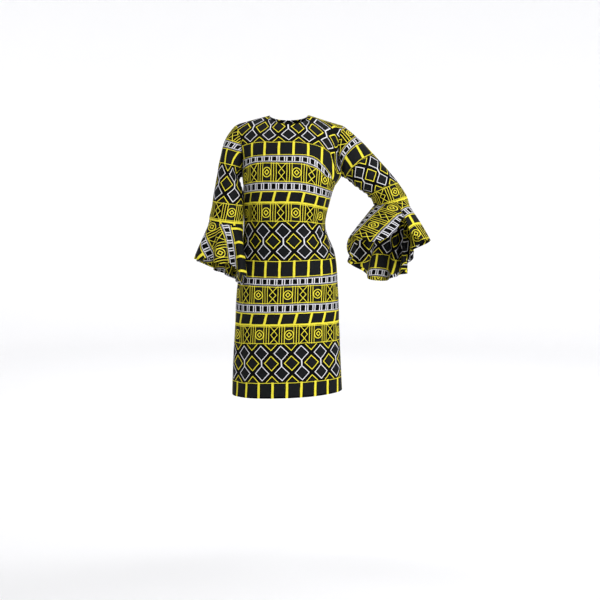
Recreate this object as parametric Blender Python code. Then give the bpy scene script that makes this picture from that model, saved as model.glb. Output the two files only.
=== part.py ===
"""Ankara wax print dress: a knee-length shift with a jewel neck and set-in sleeves to the
elbow, each ended by a circular flounce. It keeps the hollow, worn form, with one arm
hanging and the other bent out to the side, and no wearer.

Frame: +Z up, -Y is the front and -X the wearer's right. The origin lies on the shoulder
line, midway between the two sides of the neck. Tables and sizes are in millimetres.
"""

import math
from collections import namedtuple

import bpy
import numpy as np
from mathutils import Matrix, Vector

MM = 0.001
TINY = 1e-6

# Driving sizes
CLOTH = 1.2
SEAM_GAP = 0.15  # each edge steps back this far from its seam line
ARMHOLE_GAP = 0.5  # and this far round the armhole
LONGEST_MITRE = 2.5  # walls that meet at an angle share an offset of at most this many
NECK_SHARE = 0.42  # share of a panel's half-width that ends at the neckline

FRONT_COLUMNS = 24  # counts of quads
SKIRT_ROWS = 19
YOKE_ROWS = 10
SLEEVE_ROWS = 11
FLOUNCE_ROWS = 7
FLOUNCE_SPLIT = 4  # flounce columns to each sleeve column

# The body's level sections, from the hem up. right and left are the half-widths from the
# middle, front and back the depths from the side seam; the armhole columns are the depth
# of the panel's edge, which is 0 at a side seam. turn is the angle that the panel turns
# through from its middle to its edge, power how square it is, and tilt how much higher
# the wearer's left is than the middle.
Level = namedtuple(
    "Level", "name z right left front back armhole_front armhole_back turn power tilt"
)
LEVELS = [
    Level("hem", -879, 185, 172, 124, 124, 0, 0, 90, 0.80, 8),
    Level("knee", -790, 182, 168, 124, 125, 0, 0, 90, 0.80, 6),
    Level("thigh", -690, 176, 163, 123, 127, 0, 0, 90, 0.82, 6),
    Level("hip", -550, 168, 158, 121, 131, 0, 0, 90, 0.84, 6),
    Level("high_hip", -440, 154, 148, 117, 118, 0, 0, 90, 0.86, 4),
    Level("waist", -345, 144, 117, 110, 96, 0, 0, 90, 0.88, 2),
    Level("underbust", -268, 145, 131, 126, 100, 0, 0, 90, 0.80, 0),
    Level("bust", -214, 145, 149, 141, 107, 0, 0, 90, 0.76, 0),
    Level("underarm", -187, 147, 167, 139, 111, 0, 0, 90, 0.78, 2),
    Level("chest", -140, 146, 161, 129, 112, 26, 44, 80, 0.86, 0),
    Level("upper_chest", -90, 149, 156, 109, 104, 36, 50, 70, 0.95, 0),
]
UNDERARM = 8  # index of that row

# The shoulder line and the neckline. Each point is (x, y, z), on the wearer's left.
NECK_SIDE = (61, 4, 6)
NECK_FRONT = (0, -62, -24)
NECK_BACK = (0, 60, -9)
SHOULDER_TIP_RIGHT = (-166, 6, -24)
SHOULDER_TIP_LEFT = (173, 8, -27)
YOKE_SHARE = 0.60  # how far up the yoke row lies between the upper chest and the top
YOKE_RISE = 15  # how far the yoke is rounded out there, on the shoulder
YOKE_RISE_NECK = 3  # and below the neckline
ROUNDING_FROM = 0.7  # share of the neckline's turn where the shoulder's rounding begins

# Soft folds on the body: a trough of that depth along a line from (turn, z) to (turn, z),
# where turn runs from -1 at the wearer's right side seam to 1 at the left one.
FOLD_EARLY = 0.25  # a fold begins this share of its length before the line
FOLD_FADE = 0.4  # and deepens over this share of it
CALM_EDGE = 0.08  # turns from a seam within which the folds die out
Fold = namedtuple("Fold", "panel turn_a z_a turn_b z_b width depth")
FOLDS = [
    Fold("front", -0.72, -230, -0.50, -470, 0.16, 5),
    Fold("front", 0.96, -330, 0.45, -395, 0.13, 5),
    Fold("front", 0.98, -385, 0.55, -470, 0.12, 4),
    Fold("front", 0.80, -235, 0.55, -330, 0.14, 4),
    Fold("front", -0.62, -640, -0.70, -874, 0.16, 5),
    Fold("front", 0.52, -600, 0.60, -874, 0.18, 4),
    Fold("back", -0.55, -300, -0.42, -520, 0.15, 6),
    Fold("back", 0.55, -300, 0.40, -500, 0.15, 6),
    Fold("back", -0.30, -330, 0.30, -345, 0.30, 4),
    Fold("back", -0.50, -650, -0.55, -874, 0.18, 5),
    Fold("back", 0.46, -620, 0.50, -874, 0.18, 5),
]

# The sleeves' sections below the armhole. inner is the ring's end beside the body and
# outer the far one, both as (x, z); y is the depth of its middle and deep its half-depth.
Ring = namedtuple("Ring", "inner outer y deep")
RIGHT_RINGS = [
    Ring((-154, -198), (-202, -72), 2, 52),
    Ring((-149, -222), (-218, -134), -10, 53),
    Ring((-143, -246), (-232, -205), -24, 53),
    Ring((-142, -288), (-243, -271), -32, 56),
    Ring((-143, -341), (-253, -327), -32, 59),
]
LEFT_RINGS = [
    Ring((180, -197), (215, -62), 7, 52),
    Ring((207, -215), (263, -108), 11, 54),
    Ring((239, -240), (315, -166), 17, 53),
    Ring((260, -262), (357, -217), 23, 53),
    Ring((273, -279), (382, -258), 27, 53),
]

# Creases round a sleeve: a trough at that share of its length, from 0 at the armhole to 1
# at the flounce, centred at a turn from 0 beside the body, 0.25 in front, 0.5 outside.
Crease = namedtuple("Crease", "along turn spread width depth")
RIGHT_CREASES = [
    Crease(0.22, 0.06, 0.16, 0.07, 4),
    Crease(0.62, 0.20, 0.20, 0.08, 3),
    Crease(0.80, 0.70, 0.22, 0.07, 3),
]
LEFT_CREASES = [
    Crease(0.24, 0.05, 0.18, 0.07, 5),
    Crease(0.72, 0.07, 0.17, 0.06, 6),
    Crease(0.87, 0.06, 0.17, 0.05, 6),
    Crease(0.55, 0.75, 0.20, 0.08, 3),
]

# The flounces' hems, one row for each crest or trough of their ruffle waves, in order
# round the arm from the side beside the body, through the front. bow is how far the cloth
# between the seam and that point stands out from the straight line.
Wave = namedtuple("Wave", "x y z bow")
RIGHT_WAVES = [
    Wave(-166, -30, -521, 4),
    Wave(-140, -90, -519, 6),
    Wave(-130, -108, -497, 6),
    Wave(-148, -128, -484, 9),
    Wave(-170, -106, -466, 5),
    Wave(-186, -104, -452, 4),
    Wave(-202, -132, -452, 9),
    Wave(-228, -132, -450, 9),
    Wave(-240, -98, -438, 4),
    Wave(-256, -88, -438, 3),
    Wave(-284, -86, -443, 3),
    Wave(-300, -46, -444, 2),
    Wave(-270, -22, -450, 3),
    Wave(-274, -2, -455, 3),
    Wave(-299, 24, -458, 3),
    Wave(-284, 58, -468, 5),
    Wave(-252, 42, -480, 3),
    Wave(-242, 62, -486, 4),
    Wave(-248, 100, -496, 9),
    Wave(-216, 108, -506, 10),
    Wave(-205, 66, -510, 4),
    Wave(-192, 62, -515, 4),
    Wave(-182, 90, -522, 8),
    Wave(-163, 70, -525, 8),
    Wave(-172, 28, -523, 3),
]
LEFT_WAVES = [
    Wave(184, -36, -402, 4),
    Wave(196, -80, -368, 3),
    Wave(226, -116, -376, 10),
    Wave(262, -130, -384, 16),
    Wave(300, -128, -374, 16),
    Wave(334, -110, -350, 12),
    Wave(358, -70, -316, 5),
    Wave(371, -58, -316, 4),
    Wave(380, -98, -358, 8),
    Wave(414, -104, -378, 10),
    Wave(446, -64, -384, 6),
    Wave(442, -26, -396, 5),
    Wave(392, -4, -424, 4),
    Wave(388, 14, -434, 4),
    Wave(404, 46, -448, 8),
    Wave(396, 82, -466, 10),
    Wave(368, 62, -476, 4),
    Wave(364, 76, -486, 4),
    Wave(390, 112, -508, 10),
    Wave(368, 136, -514, 11),
    Wave(346, 104, -520, 4),
    Wave(338, 106, -522, 4),
    Wave(324, 142, -535, 11),
    Wave(264, 142, -530, 12),
    Wave(252, 96, -506, 4),
    Wave(240, 84, -496, 4),
    Wave(214, 104, -484, 9),
    Wave(190, 78, -466, 9),
    Wave(204, 36, -450, 4),
    Wave(192, 8, -436, 4),
]

# The concealed zip at the centre back
ZIP_LENGTH = 480
TAPE_WIDTH = 24
TAPE_THICK = 0.8
TAPE_GAP = 0.35  # between the panels and the tape
TAPE_DROP = 2  # of its top end below the neckline
COIL_HALF = 3.0  # half-width of the closed coil's ridge
COIL_RISE = 1.4
SLIDER_DROP = 11.0  # of the slider's pin below the neckline
SLIDER_LIFT = 0.3  # of the slider over the cloth
PLATE_WIDTH = 6.8
PLATE_LENGTH = 9.0
PLATE_THICK = 0.8
LUG_THICK = 0.8
LUG_FOOT = 2.4  # half-length of a lug where it stands on the plate
LUG_TOP = 1.5  # half-length where its rounded top begins
LUG_CROWN = 1.2  # rise of that top over the pin's middle
LUG_SINK = 0.2  # of its foot into the plate
LUG_GAP = 0.3  # between a lug and the pull
PIN_RADIUS = 0.5
PIN_HEIGHT = 2.0  # of the pin's middle over the slider's plate
EYE_RADIUS = 0.9
HEAD_RADIUS = 1.6  # of the pull's rolled top, round the pin
PULL_LENGTH = 24
PULL_TOP_WIDTH = 4.4
PULL_WAIST_WIDTH = 3.52
PULL_WAIST_DOWN = 10.8  # of its narrowest place below the pin
PULL_END_WIDTH = 6.0
PULL_END_TURN = 0.5  # radians that its end curves on past half a circle, each way
PULL_THICK = 1.0
PIN_SIDES = 12  # counts
LUG_SIDES = 8
PULL_END_SIDES = 12
HEAD_SIDES = 16

# Finishes, read from the photograph
PRINT_BLACK = (0.03, 0.03, 0.033, 1)
TAPE_BLACK = (0.02, 0.02, 0.022, 1)
ENAMEL_BLACK = (0.03, 0.03, 0.032, 1)


def clear_scene():
    for obj in list(bpy.data.objects):
        bpy.data.objects.remove(obj, do_unlink=True)


def material(name, colour, roughness):
    made = bpy.data.materials.new(name)
    made.use_nodes = True
    shader = made.node_tree.nodes["Principled BSDF"]
    shader.inputs["Base Color"].default_value = colour
    shader.inputs["Roughness"].default_value = roughness
    made.diffuse_color = colour
    return made


def unit(vectors):
    length = np.linalg.norm(vectors, axis=-1, keepdims=True)
    return vectors / np.maximum(length, TINY)


def smooth_step(share):
    share = np.clip(share, 0, 1)
    return share * share * (3 - 2 * share)


def through(knots, values, at):
    """A smooth curve through values at knots, read at other places. Each knot's slope is
    that of the parabola through it and its two neighbours."""
    knots = np.asarray(knots, float)
    values = np.asarray(values, float)
    step = np.diff(knots)
    spread = (-1,) + (1,) * (values.ndim - 1)
    chord = np.diff(values, axis=0) / step.reshape(spread)
    before = step[:-1].reshape(spread)
    after = step[1:].reshape(spread)
    inner = (chord[:-1] * after + chord[1:] * before) / (before + after)
    slope = np.concatenate(
        [2 * chord[:1] - inner[:1], inner, 2 * chord[-1:] - inner[-1:]]
    )
    at = np.asarray(at, float)
    i = np.clip(np.searchsorted(knots, at, side="right") - 1, 0, len(step) - 1)
    w = ((at - knots[i]) / step[i]).reshape(spread)
    h = step[i].reshape(spread)
    return (
        (2 * w**3 - 3 * w**2 + 1) * values[i]
        + (w**3 - 2 * w**2 + w) * h * slope[i]
        + (3 * w**2 - 2 * w**3) * values[i + 1]
        + (w**3 - w**2) * h * slope[i + 1]
    )


def distances(points):
    """How far along a line of points each one lies."""
    steps = np.linalg.norm(np.diff(points, axis=0), axis=1)
    return np.concatenate([[0], np.cumsum(steps)])


def level_row(level, turns, panel):
    """The points of one panel at a level, for turns from -1 to 1 across it."""
    depth, edge, side = {
        "front": (level.front, level.armhole_front, -1),
        "back": (level.back, level.armhole_back, 1),
    }[panel]
    most = math.radians(level.turn)
    across = np.sin(most * turns) / math.sin(most)
    inward = (np.cos(most * turns) - math.cos(most)) / (1 - math.cos(most))
    inward = np.clip(inward, 0, 1) ** level.power
    half = np.where(turns < 0, level.right, level.left)
    return np.stack(
        [
            half * across,
            side * (edge + (depth - edge) * inward),
            level.z + level.tilt * across,
        ],
        axis=1,
    )


def top_row(turns, panel):
    """The shoulder line, and between its two sides the neckline."""
    middle = np.array({"front": NECK_FRONT, "back": NECK_BACK}[panel], float)
    rows = []
    for turn in turns:
        way = -1 if turn < 0 else 1
        neck = np.array([way * NECK_SIDE[0], NECK_SIDE[1], NECK_SIDE[2]], float)
        if abs(turn) >= NECK_SHARE:
            tip = np.array(SHOULDER_TIP_RIGHT if way < 0 else SHOULDER_TIP_LEFT, float)
            rows.append(neck + (tip - neck) * (abs(turn) - NECK_SHARE) / (1 - NECK_SHARE))
            continue
        angle = math.pi / 2 * abs(turn) / NECK_SHARE
        point = neck + (middle - neck) * math.cos(angle)
        point[0] = neck[0] * math.sin(angle)
        rows.append(point)
    return np.array(rows)


def yoke_row(chest, top, turns, panel):
    """The row between the upper chest and the top, rounded out over the shoulder."""
    on_shoulder = smooth_step((np.abs(turns) - NECK_SHARE / 2) / (NECK_SHARE / 2))
    rise = YOKE_RISE_NECK + (YOKE_RISE - YOKE_RISE_NECK) * on_shoulder
    out = unit(np.array([0, -1.0 if panel == "front" else 1.0, 1.0]))
    return chest + (top - chest) * YOKE_SHARE + rise[:, None] * out


def fold_depth(points, turns, panel):
    """How far the cloth sinks at each point of a row of the panel."""
    sunk = np.zeros(len(points))
    for fold in FOLDS:
        if fold.panel != panel:
            continue
        along = (points[:, 2] - fold.z_a) / (fold.z_b - fold.z_a)
        centre = fold.turn_a + (fold.turn_b - fold.turn_a) * np.clip(along, 0, 1)
        ends = smooth_step((along + FOLD_EARLY) / FOLD_FADE)
        if fold.z_b > LEVELS[0].z:
            ends = ends * smooth_step((1 + FOLD_EARLY - along) / FOLD_FADE)
        sunk += fold.depth * ends * np.exp(-(((turns - centre) / fold.width) ** 2))
    return sunk


def body_grid(turns, panel):
    """The panel's outer points, row by row from the hem to the top."""
    rows = [level_row(level, turns, panel) for level in LEVELS]
    other = "back" if panel == "front" else "front"
    top = top_row(turns, panel)
    yoke = yoke_row(rows[-1], top, turns, panel)
    chest_over = level_row(LEVELS[-1], turns, other)
    over = yoke_row(chest_over, top_row(turns, other), turns, other)
    beyond = 2 * top - yoke
    rounding = NECK_SHARE * ROUNDING_FROM
    on_shoulder = smooth_step((np.abs(turns) - rounding) / (NECK_SHARE - rounding))
    beyond = beyond + (over - beyond) * on_shoulder[:, None]
    keys = np.array(rows + [yoke, top, beyond])
    spans = np.linalg.norm(np.diff(keys, axis=0), axis=2).mean(axis=1)
    knots = np.concatenate([[0], np.cumsum(spans)])
    low = np.linspace(0, knots[UNDERARM], SKIRT_ROWS + 1)
    high = np.linspace(knots[UNDERARM], knots[-2], YOKE_ROWS + 1)[1:]
    grid = through(knots, keys, np.concatenate([low, high]))
    grid[-1] = top
    normals = grid_normals(grid, panel_way(panel))
    edges = smooth_step((1 - np.abs(turns)) / CALM_EDGE)
    for row, points in enumerate(grid):
        sunk = fold_depth(points, turns, panel) * edges
        grid[row] = points - normals[row] * sunk[:, None]
    return grid


def panel_way(panel):
    """1 where the grid's rows and columns turn so that its normals point out."""
    return 1 if panel == "front" else -1


def grid_normals(grid, way, closed=False):
    """Outward normals of a grid of points, whose columns may close on themselves."""
    up = np.gradient(grid, axis=0)
    if closed:
        along = (np.roll(grid, -1, axis=1) - np.roll(grid, 1, axis=1)) / 2
    else:
        along = np.gradient(grid, axis=1)
    return unit(np.cross(along, up)) * way


def mitre(first, second):
    """The offset that two walls share at their seam: along the middle of their normals,
    and longer where they meet at an angle."""
    middle = unit(first + second)
    lean = np.sum(middle * first, axis=-1, keepdims=True)
    return middle / np.maximum(lean, 1 / LONGEST_MITRE)


def step_back(grid, edge, gap):
    """Moves one edge of a panel off its seam line, towards the panel's own middle."""
    near, next_in = {
        "bottom": ((0, slice(None)), (1, slice(None))),
        "top": ((-1, slice(None)), (-2, slice(None))),
        "first": ((slice(None), 0), (slice(None), 1)),
        "last": ((slice(None), -1), (slice(None), -2)),
    }[edge]
    grid[near] = grid[near] + unit(grid[next_in] - grid[near]) * gap


def wall(name, grid, offsets, finish, closed=False, thick=CLOTH):
    """A closed solid: the grid's points, the same points moved in, and the rim."""
    inner = grid - offsets * thick
    rows, columns = grid.shape[:2]
    points = np.concatenate([grid.reshape(-1, 3), inner.reshape(-1, 3)]) * MM
    layer = rows * columns

    def at(row, column, inside=False):
        return row * columns + column % columns + (layer if inside else 0)

    def rim(first, second):
        """The face between two neighbours outside and the same two inside."""
        return [at(*first), at(*second), at(*second, True), at(*first, True)]

    faces = []
    last_row, last_column = rows - 1, columns - 1
    across = range(columns if closed else last_column)
    for row in range(last_row):
        for column in across:
            quad = [(row, column), (row, column + 1), (row + 1, column + 1), (row + 1, column)]
            faces.append([at(*corner) for corner in quad])
            faces.append([at(*corner, True) for corner in reversed(quad)])
    for column in across:
        faces.append(rim((0, column + 1), (0, column)))
        faces.append(rim((last_row, column), (last_row, column + 1)))
    for row in range(0 if closed else last_row):
        faces.append(rim((row, 0), (row + 1, 0)))
        faces.append(rim((row + 1, last_column), (row, last_column)))
    return solid(name, points, faces, finish)


def solid(name, points, faces, finish):
    """An object from points in metres, turned so that its faces point out."""
    triangles = np.array([[f[0], f[i], f[i + 1]] for f in faces for i in range(1, len(f) - 1)])
    volume = np.linalg.det(points[triangles]).sum()
    if volume < 0:
        faces = [face[::-1] for face in faces]
    mesh = bpy.data.meshes.new(name)
    mesh.from_pydata([tuple(p) for p in points], [], faces)
    mesh.update()
    mesh.shade_smooth()
    mesh.set_sharp_from_angle(angle=math.radians(40))
    mesh.materials.append(finish)
    obj = bpy.data.objects.new(name, mesh)
    bpy.context.scene.collection.objects.link(obj)
    return obj


def armhole(front, back, column):
    """The armhole's points, from the underarm up the front edge and down the back one."""
    rise = front[SKIRT_ROWS:, column]
    fall = back[SKIRT_ROWS + 1 : -1, column][::-1]
    return np.concatenate([rise, fall])


def ring_points(ring, count):
    """A sleeve section's points, in the armhole's order."""
    inner = np.array([ring.inner[0], ring.y, ring.inner[1]], float)
    outer = np.array([ring.outer[0], ring.y, ring.outer[1]], float)
    angle = 2 * math.pi * np.arange(count) / count
    middle = (inner + outer) / 2
    reach = (inner - outer) / 2
    deep = np.array([0, -ring.deep, 0], float)
    return middle + np.cos(angle)[:, None] * reach + np.sin(angle)[:, None] * deep


def sleeve_grid(start, rings, creases):
    """The sleeve's outer points, ring by ring from the armhole to the flounce."""
    count = len(start)
    keys = np.array([start] + [ring_points(ring, count) for ring in rings])
    spans = np.linalg.norm(np.diff(keys, axis=0), axis=2).mean(axis=1)
    knots = np.concatenate([[0], np.cumsum(spans)])
    along = np.linspace(0, 1, SLEEVE_ROWS + 1)
    grid = through(knots, keys, along * knots[-1])
    inward = -outward_of_tube(grid)
    turns = np.arange(count) / count
    for crease in creases:
        away = (turns - crease.turn + 0.5) % 1 - 0.5
        round_it = np.exp(-((away / crease.spread) ** 2))
        down_it = np.exp(-(((along - crease.along) / crease.width) ** 2))
        down_it[[0, -1]] = 0
        grid = grid + inward * (crease.depth * down_it[:, None] * round_it)[..., None]
    return grid


def outward_of_tube(grid):
    """Normals of a tube of rings, pointing away from each ring's middle."""
    normals = grid_normals(grid, 1, closed=True)
    away = grid - grid.mean(axis=1, keepdims=True)
    return normals * np.sign(np.sum(normals * away))


def flounce_grid(seam, waves, split):
    """The flounce's outer points, from its seam to its hem. The hem is one smooth closed
    line through the waves, and each column runs to it in a shallow bow."""
    keys = np.array([wave[:3] for wave in waves], float)
    bows = np.array([wave.bow for wave in waves], float)
    count = len(seam) * split
    looped = np.concatenate([keys[-2:], keys, keys[:3]])
    knots = distances(looped)
    first, last = knots[2], knots[2 + len(keys)]
    at = first + (last - first) * np.arange(count) / count
    hem = through(knots, looped, at)
    bow = through(knots, np.concatenate([bows[-2:], bows, bows[:3]]), at)
    share = (np.arange(count) % split / split)[:, None]
    top = np.repeat(seam, split, axis=0)
    top = top + share * (np.repeat(np.roll(seam, -1, axis=0), split, axis=0) - top)
    away = hem - hem.mean(axis=0)
    away[:, 2] = 0
    rows = []
    for row in range(FLOUNCE_ROWS + 1):
        down = row / FLOUNCE_ROWS
        bulge = 4 * down * (1 - down) * bow[:, None] * unit(away)
        rows.append(top + (hem - top) * down + bulge)
    return np.array(rows)


def body_walls():
    """The front's and the back's points from side seam to side seam, and the offsets of
    their walls, which agree along the side seams and the shoulders."""
    half = FRONT_COLUMNS // 2
    on_neck = half // 2
    shoulder = np.linspace(1, NECK_SHARE, half - on_neck + 1)
    neck = np.linspace(NECK_SHARE, 0, on_neck + 1)[1:]
    right = -np.concatenate([shoulder, neck])
    turns = np.concatenate([right, -right[::-1][1:]])
    front = body_grid(turns, "front")
    back = body_grid(turns, "back")
    out_front = grid_normals(front, panel_way("front"))
    out_back = grid_normals(back, panel_way("back"))
    at_sides = np.zeros(front.shape[:2], bool)
    at_sides[: SKIRT_ROWS + 1, [0, -1]] = True
    at_sides[-1, np.abs(turns) > NECK_SHARE - TINY] = True
    shared = mitre(out_front, out_back)
    out_front = np.where(at_sides[..., None], shared, out_front)
    out_back = np.where(at_sides[..., None], shared, out_back)
    return front, back, out_front, out_back


def sew_sleeve(name, rings, creases, waves, column, body, finish):
    """One sleeve and its flounce, whose walls share offsets with what they're sewn to."""
    front, back, out_front, out_back = body
    start = armhole(front, back, column)
    sleeve = sleeve_grid(start, rings, creases)
    flounce = flounce_grid(sleeve[-1], waves, FLOUNCE_SPLIT)
    out_sleeve = outward_of_tube(sleeve)
    out_flounce = outward_of_tube(flounce)

    joined = mitre(armhole(out_front, out_back, column), out_sleeve[0])
    out_sleeve[0] = joined
    rise = len(front) - SKIRT_ROWS
    out_front[SKIRT_ROWS:, column] = joined[:rise]
    out_back[SKIRT_ROWS + 1 : -1, column] = joined[rise:][::-1]
    out_back[SKIRT_ROWS, column] = joined[0]
    out_back[-1, column] = joined[rise - 1]

    cuff = mitre(out_sleeve[-1], out_flounce[0, ::FLOUNCE_SPLIT])
    out_sleeve[-1] = cuff
    share = (np.arange(len(flounce[0])) % FLOUNCE_SPLIT / FLOUNCE_SPLIT)[:, None]
    spread = np.repeat(cuff, FLOUNCE_SPLIT, axis=0)
    out_flounce[0] = spread + share * (
        np.repeat(np.roll(cuff, -1, axis=0), FLOUNCE_SPLIT, axis=0) - spread
    )
    step_back(sleeve, "bottom", ARMHOLE_GAP)
    step_back(sleeve, "top", SEAM_GAP)
    step_back(flounce, "bottom", SEAM_GAP)
    wall("sleeve_" + name, sleeve, out_sleeve, finish, closed=True)
    wall("flounce_" + name, flounce, out_flounce, finish, closed=True)


def finish_panel(name, grid, offsets, finish, first_gap, last_gap):
    """Steps a body panel back from its seams and makes its wall."""
    grid = grid.copy()
    step_back(grid, "first", first_gap)
    step_back(grid, "last", last_gap)
    step_back(grid, "top", SEAM_GAP)
    wall(name, grid, offsets, finish)


def make_tape(grid, offsets, finish):
    """The zip's tape behind the centre back seam, with the closed coil as a low ridge. It
    is the two panels' own points, moved in, at some steps across the seam."""
    middle = grid.shape[1] // 2
    seam, seam_out = grid[::-1, middle], offsets[::-1, middle]
    rows = slice(0, int(np.searchsorted(distances(seam), ZIP_LENGTH)) + 1)
    steps = [
        (-TAPE_WIDTH / 2, 0),
        (-COIL_HALF, 0),
        (0, COIL_RISE),
        (COIL_HALF, 0),
        (TAPE_WIDTH / 2, 0),
    ]
    outer, inward = [], []
    for place, ridge in steps:
        beside = middle + (1 if place > 0 else -1)
        reach = np.abs(grid[::-1, beside, 0] - seam[:, 0])
        share = (abs(place) / reach)[:, None]
        line = seam + (grid[::-1, beside] - seam) * share
        out = seam_out + (offsets[::-1, beside] - seam_out) * share
        outer.append((line - out * (CLOTH + TAPE_GAP))[rows])
        inward.append(out[rows] * (TAPE_THICK + ridge))
    outer = np.stack(outer, axis=1)
    outer[0] += unit(outer[1] - outer[0]) * TAPE_DROP
    wall("zip_tape", outer, np.stack(inward, axis=1), finish, thick=1)


def slider_place(grid, offsets):
    """The foot of the slider's pin on the centre back seam, and its directions: across the
    seam, down it and out."""
    middle = grid.shape[1] // 2
    seam, seam_out = grid[::-1, middle], offsets[::-1, middle]
    along = distances(seam)
    foot = through(along, seam, [SLIDER_DROP])[0]
    out = unit(through(along, seam_out, [SLIDER_DROP])[0])
    across = np.array([1.0, 0, 0])
    down = -unit(np.cross(across, out)) * np.sign(np.cross(across, out)[2])
    return foot + out * SLIDER_LIFT, across, down, out


def make_slider(foot, across, down, out, finish):
    """The slider's plate, the two lugs that stand on it and the pin between them."""
    wide, long = PLATE_WIDTH / 2, PLATE_LENGTH / 2
    corners = [(-wide, -long), (wide, -long), (wide, long), (-wide, long)]
    flat = np.array([across, down, out])
    slider = prism("zip_slider", corners, 0, PLATE_THICK, foot, flat, finish)
    inner = PULL_TOP_WIDTH / 2 + LUG_GAP
    top = foot + out * PLATE_THICK
    upright = np.array([down, out, across])
    crown = arc((0, PIN_HEIGHT), LUG_TOP, LUG_CROWN, math.pi, 0, LUG_SIDES)
    side = [(-LUG_FOOT, -LUG_SINK)] + crown + [(LUG_FOOT, -LUG_SINK)]
    for low in (-inner - LUG_THICK, inner):
        unite(slider, prism("lug", side, low, low + LUG_THICK, top, upright, finish))
    pin = circle((0, PIN_HEIGHT), PIN_RADIUS, PIN_SIDES)
    reach = inner + LUG_THICK / 2
    unite(slider, prism("pin", pin, -reach, reach, top, upright, finish))


def make_pull(foot, across, down, out, finish):
    """The pull: a flat tongue with a rounded end, and a rolled head with an eye that goes
    round the slider's pin."""
    axis = foot + out * (PLATE_THICK + PIN_HEIGHT)
    wide, waist, end = PULL_TOP_WIDTH / 2, PULL_WAIST_WIDTH / 2, PULL_END_WIDTH / 2
    turn = PULL_END_TURN
    tongue = [(-wide, -HEAD_RADIUS / 2), (wide, -HEAD_RADIUS / 2), (waist, PULL_WAIST_DOWN)]
    tongue += arc((0, PULL_LENGTH - end), end, end, -turn, math.pi + turn, PULL_END_SIDES)
    tongue += [(-waist, PULL_WAIST_DOWN)]
    flat = np.array([across, down, out])
    half = PULL_THICK / 2
    pull = prism("zip_pull", tongue, -half, half, axis, flat, finish)
    upright = np.array([down, out, across])
    head = circle((0, 0), HEAD_RADIUS, HEAD_SIDES)
    unite(pull, prism("head", head, -wide, wide, axis, upright, finish))
    eye = circle((0, 0), EYE_RADIUS, HEAD_SIDES)
    cut(pull, prism("eye", eye, -wide - 1, wide + 1, axis, upright, finish))
    set_origin(pull, axis * MM)


def arc(middle, across, up, start, end, sides):
    """Points along part of an ellipse."""
    return [
        (middle[0] + across * math.cos(angle), middle[1] + up * math.sin(angle))
        for angle in np.linspace(start, end, sides + 1)
    ]


def circle(middle, radius, sides):
    return arc(middle, radius, radius, 0, 2 * math.pi, sides)[:-1]


def set_origin(obj, place):
    """Puts the object's origin at a place, and leaves its shape where it is."""
    obj.data.transform(Matrix.Translation(-Vector(place)))
    obj.location = place


def prism(name, outline, low, high, origin, frame, finish):
    """An outline in the frame's first two directions, from low to high along the third."""
    count = len(outline)
    points = [
        origin + frame[0] * a + frame[1] * b + frame[2] * level
        for level in (low, high)
        for a, b in outline
    ]
    faces = [list(range(count))[::-1], list(range(count, 2 * count))]
    faces += [[i, (i + 1) % count, count + (i + 1) % count, count + i] for i in range(count)]
    return solid(name, np.array(points) * MM, faces, finish)


def apply_boolean(target, other, operation):
    modifier = target.modifiers.new(operation.title(), "BOOLEAN")
    modifier.operation = operation
    modifier.object = other
    other.hide_render = True
    other.display_type = "WIRE"


def unite(target, other):
    apply_boolean(target, other, "UNION")


def cut(target, other):
    apply_boolean(target, other, "DIFFERENCE")


def main():
    clear_scene()
    prints = material("wax_print_cotton", PRINT_BLACK, 0.72)
    tape = material("zip_tape", TAPE_BLACK, 0.8)
    enamel = material("zip_enamel", ENAMEL_BLACK, 0.35)

    body = body_walls()
    front, back, out_front, out_back = body
    sew_sleeve("right", RIGHT_RINGS, RIGHT_CREASES, RIGHT_WAVES, 0, body, prints)
    sew_sleeve("left", LEFT_RINGS, LEFT_CREASES, LEFT_WAVES, -1, body, prints)
    side_gap = np.full((len(front), 1), SEAM_GAP)
    side_gap[SKIRT_ROWS:] = ARMHOLE_GAP
    finish_panel("front_panel", front, out_front, prints, side_gap, side_gap)
    middle = front.shape[1] // 2
    half = back[:, : middle + 1], out_back[:, : middle + 1]
    finish_panel("back_panel_right", *half, prints, side_gap, SEAM_GAP)
    half = back[:, middle:], out_back[:, middle:]
    finish_panel("back_panel_left", *half, prints, SEAM_GAP, side_gap)
    make_tape(back, out_back, tape)
    place = slider_place(back, out_back)
    make_slider(*place, enamel)
    make_pull(*place, enamel)


main()
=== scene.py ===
"""The looks of a worn ankara wax print dress. Every panel, sleeve and flounce is a thin
sheet of printed cotton on the form of its CAD solid, with its hems, darts, seams and soft
folds, and the banded print follows the cut of the cloth. The tables and sizes are in
millimetres, and the ones of the form are the same as the CAD's.
"""

import math
from collections import namedtuple

import bpy
import numpy as np
from mathutils import Matrix, Vector


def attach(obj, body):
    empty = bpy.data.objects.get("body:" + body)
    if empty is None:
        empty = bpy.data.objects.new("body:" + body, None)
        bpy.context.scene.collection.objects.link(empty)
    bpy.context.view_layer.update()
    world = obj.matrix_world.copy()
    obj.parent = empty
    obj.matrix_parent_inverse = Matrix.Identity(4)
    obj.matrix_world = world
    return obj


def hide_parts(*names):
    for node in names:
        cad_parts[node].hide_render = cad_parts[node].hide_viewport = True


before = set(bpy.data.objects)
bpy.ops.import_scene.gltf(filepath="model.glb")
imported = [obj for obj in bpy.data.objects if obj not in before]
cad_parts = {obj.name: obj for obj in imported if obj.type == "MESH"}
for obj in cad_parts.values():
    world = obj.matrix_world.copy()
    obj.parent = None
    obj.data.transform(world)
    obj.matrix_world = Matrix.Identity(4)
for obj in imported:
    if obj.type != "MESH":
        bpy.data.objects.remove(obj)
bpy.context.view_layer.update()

MM = 0.001
TINY = 1e-6


def table(kind, *rows):
    """Named rows, each given as its values in the order of the kind's names."""
    return [kind(*row) for row in rows]


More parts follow.
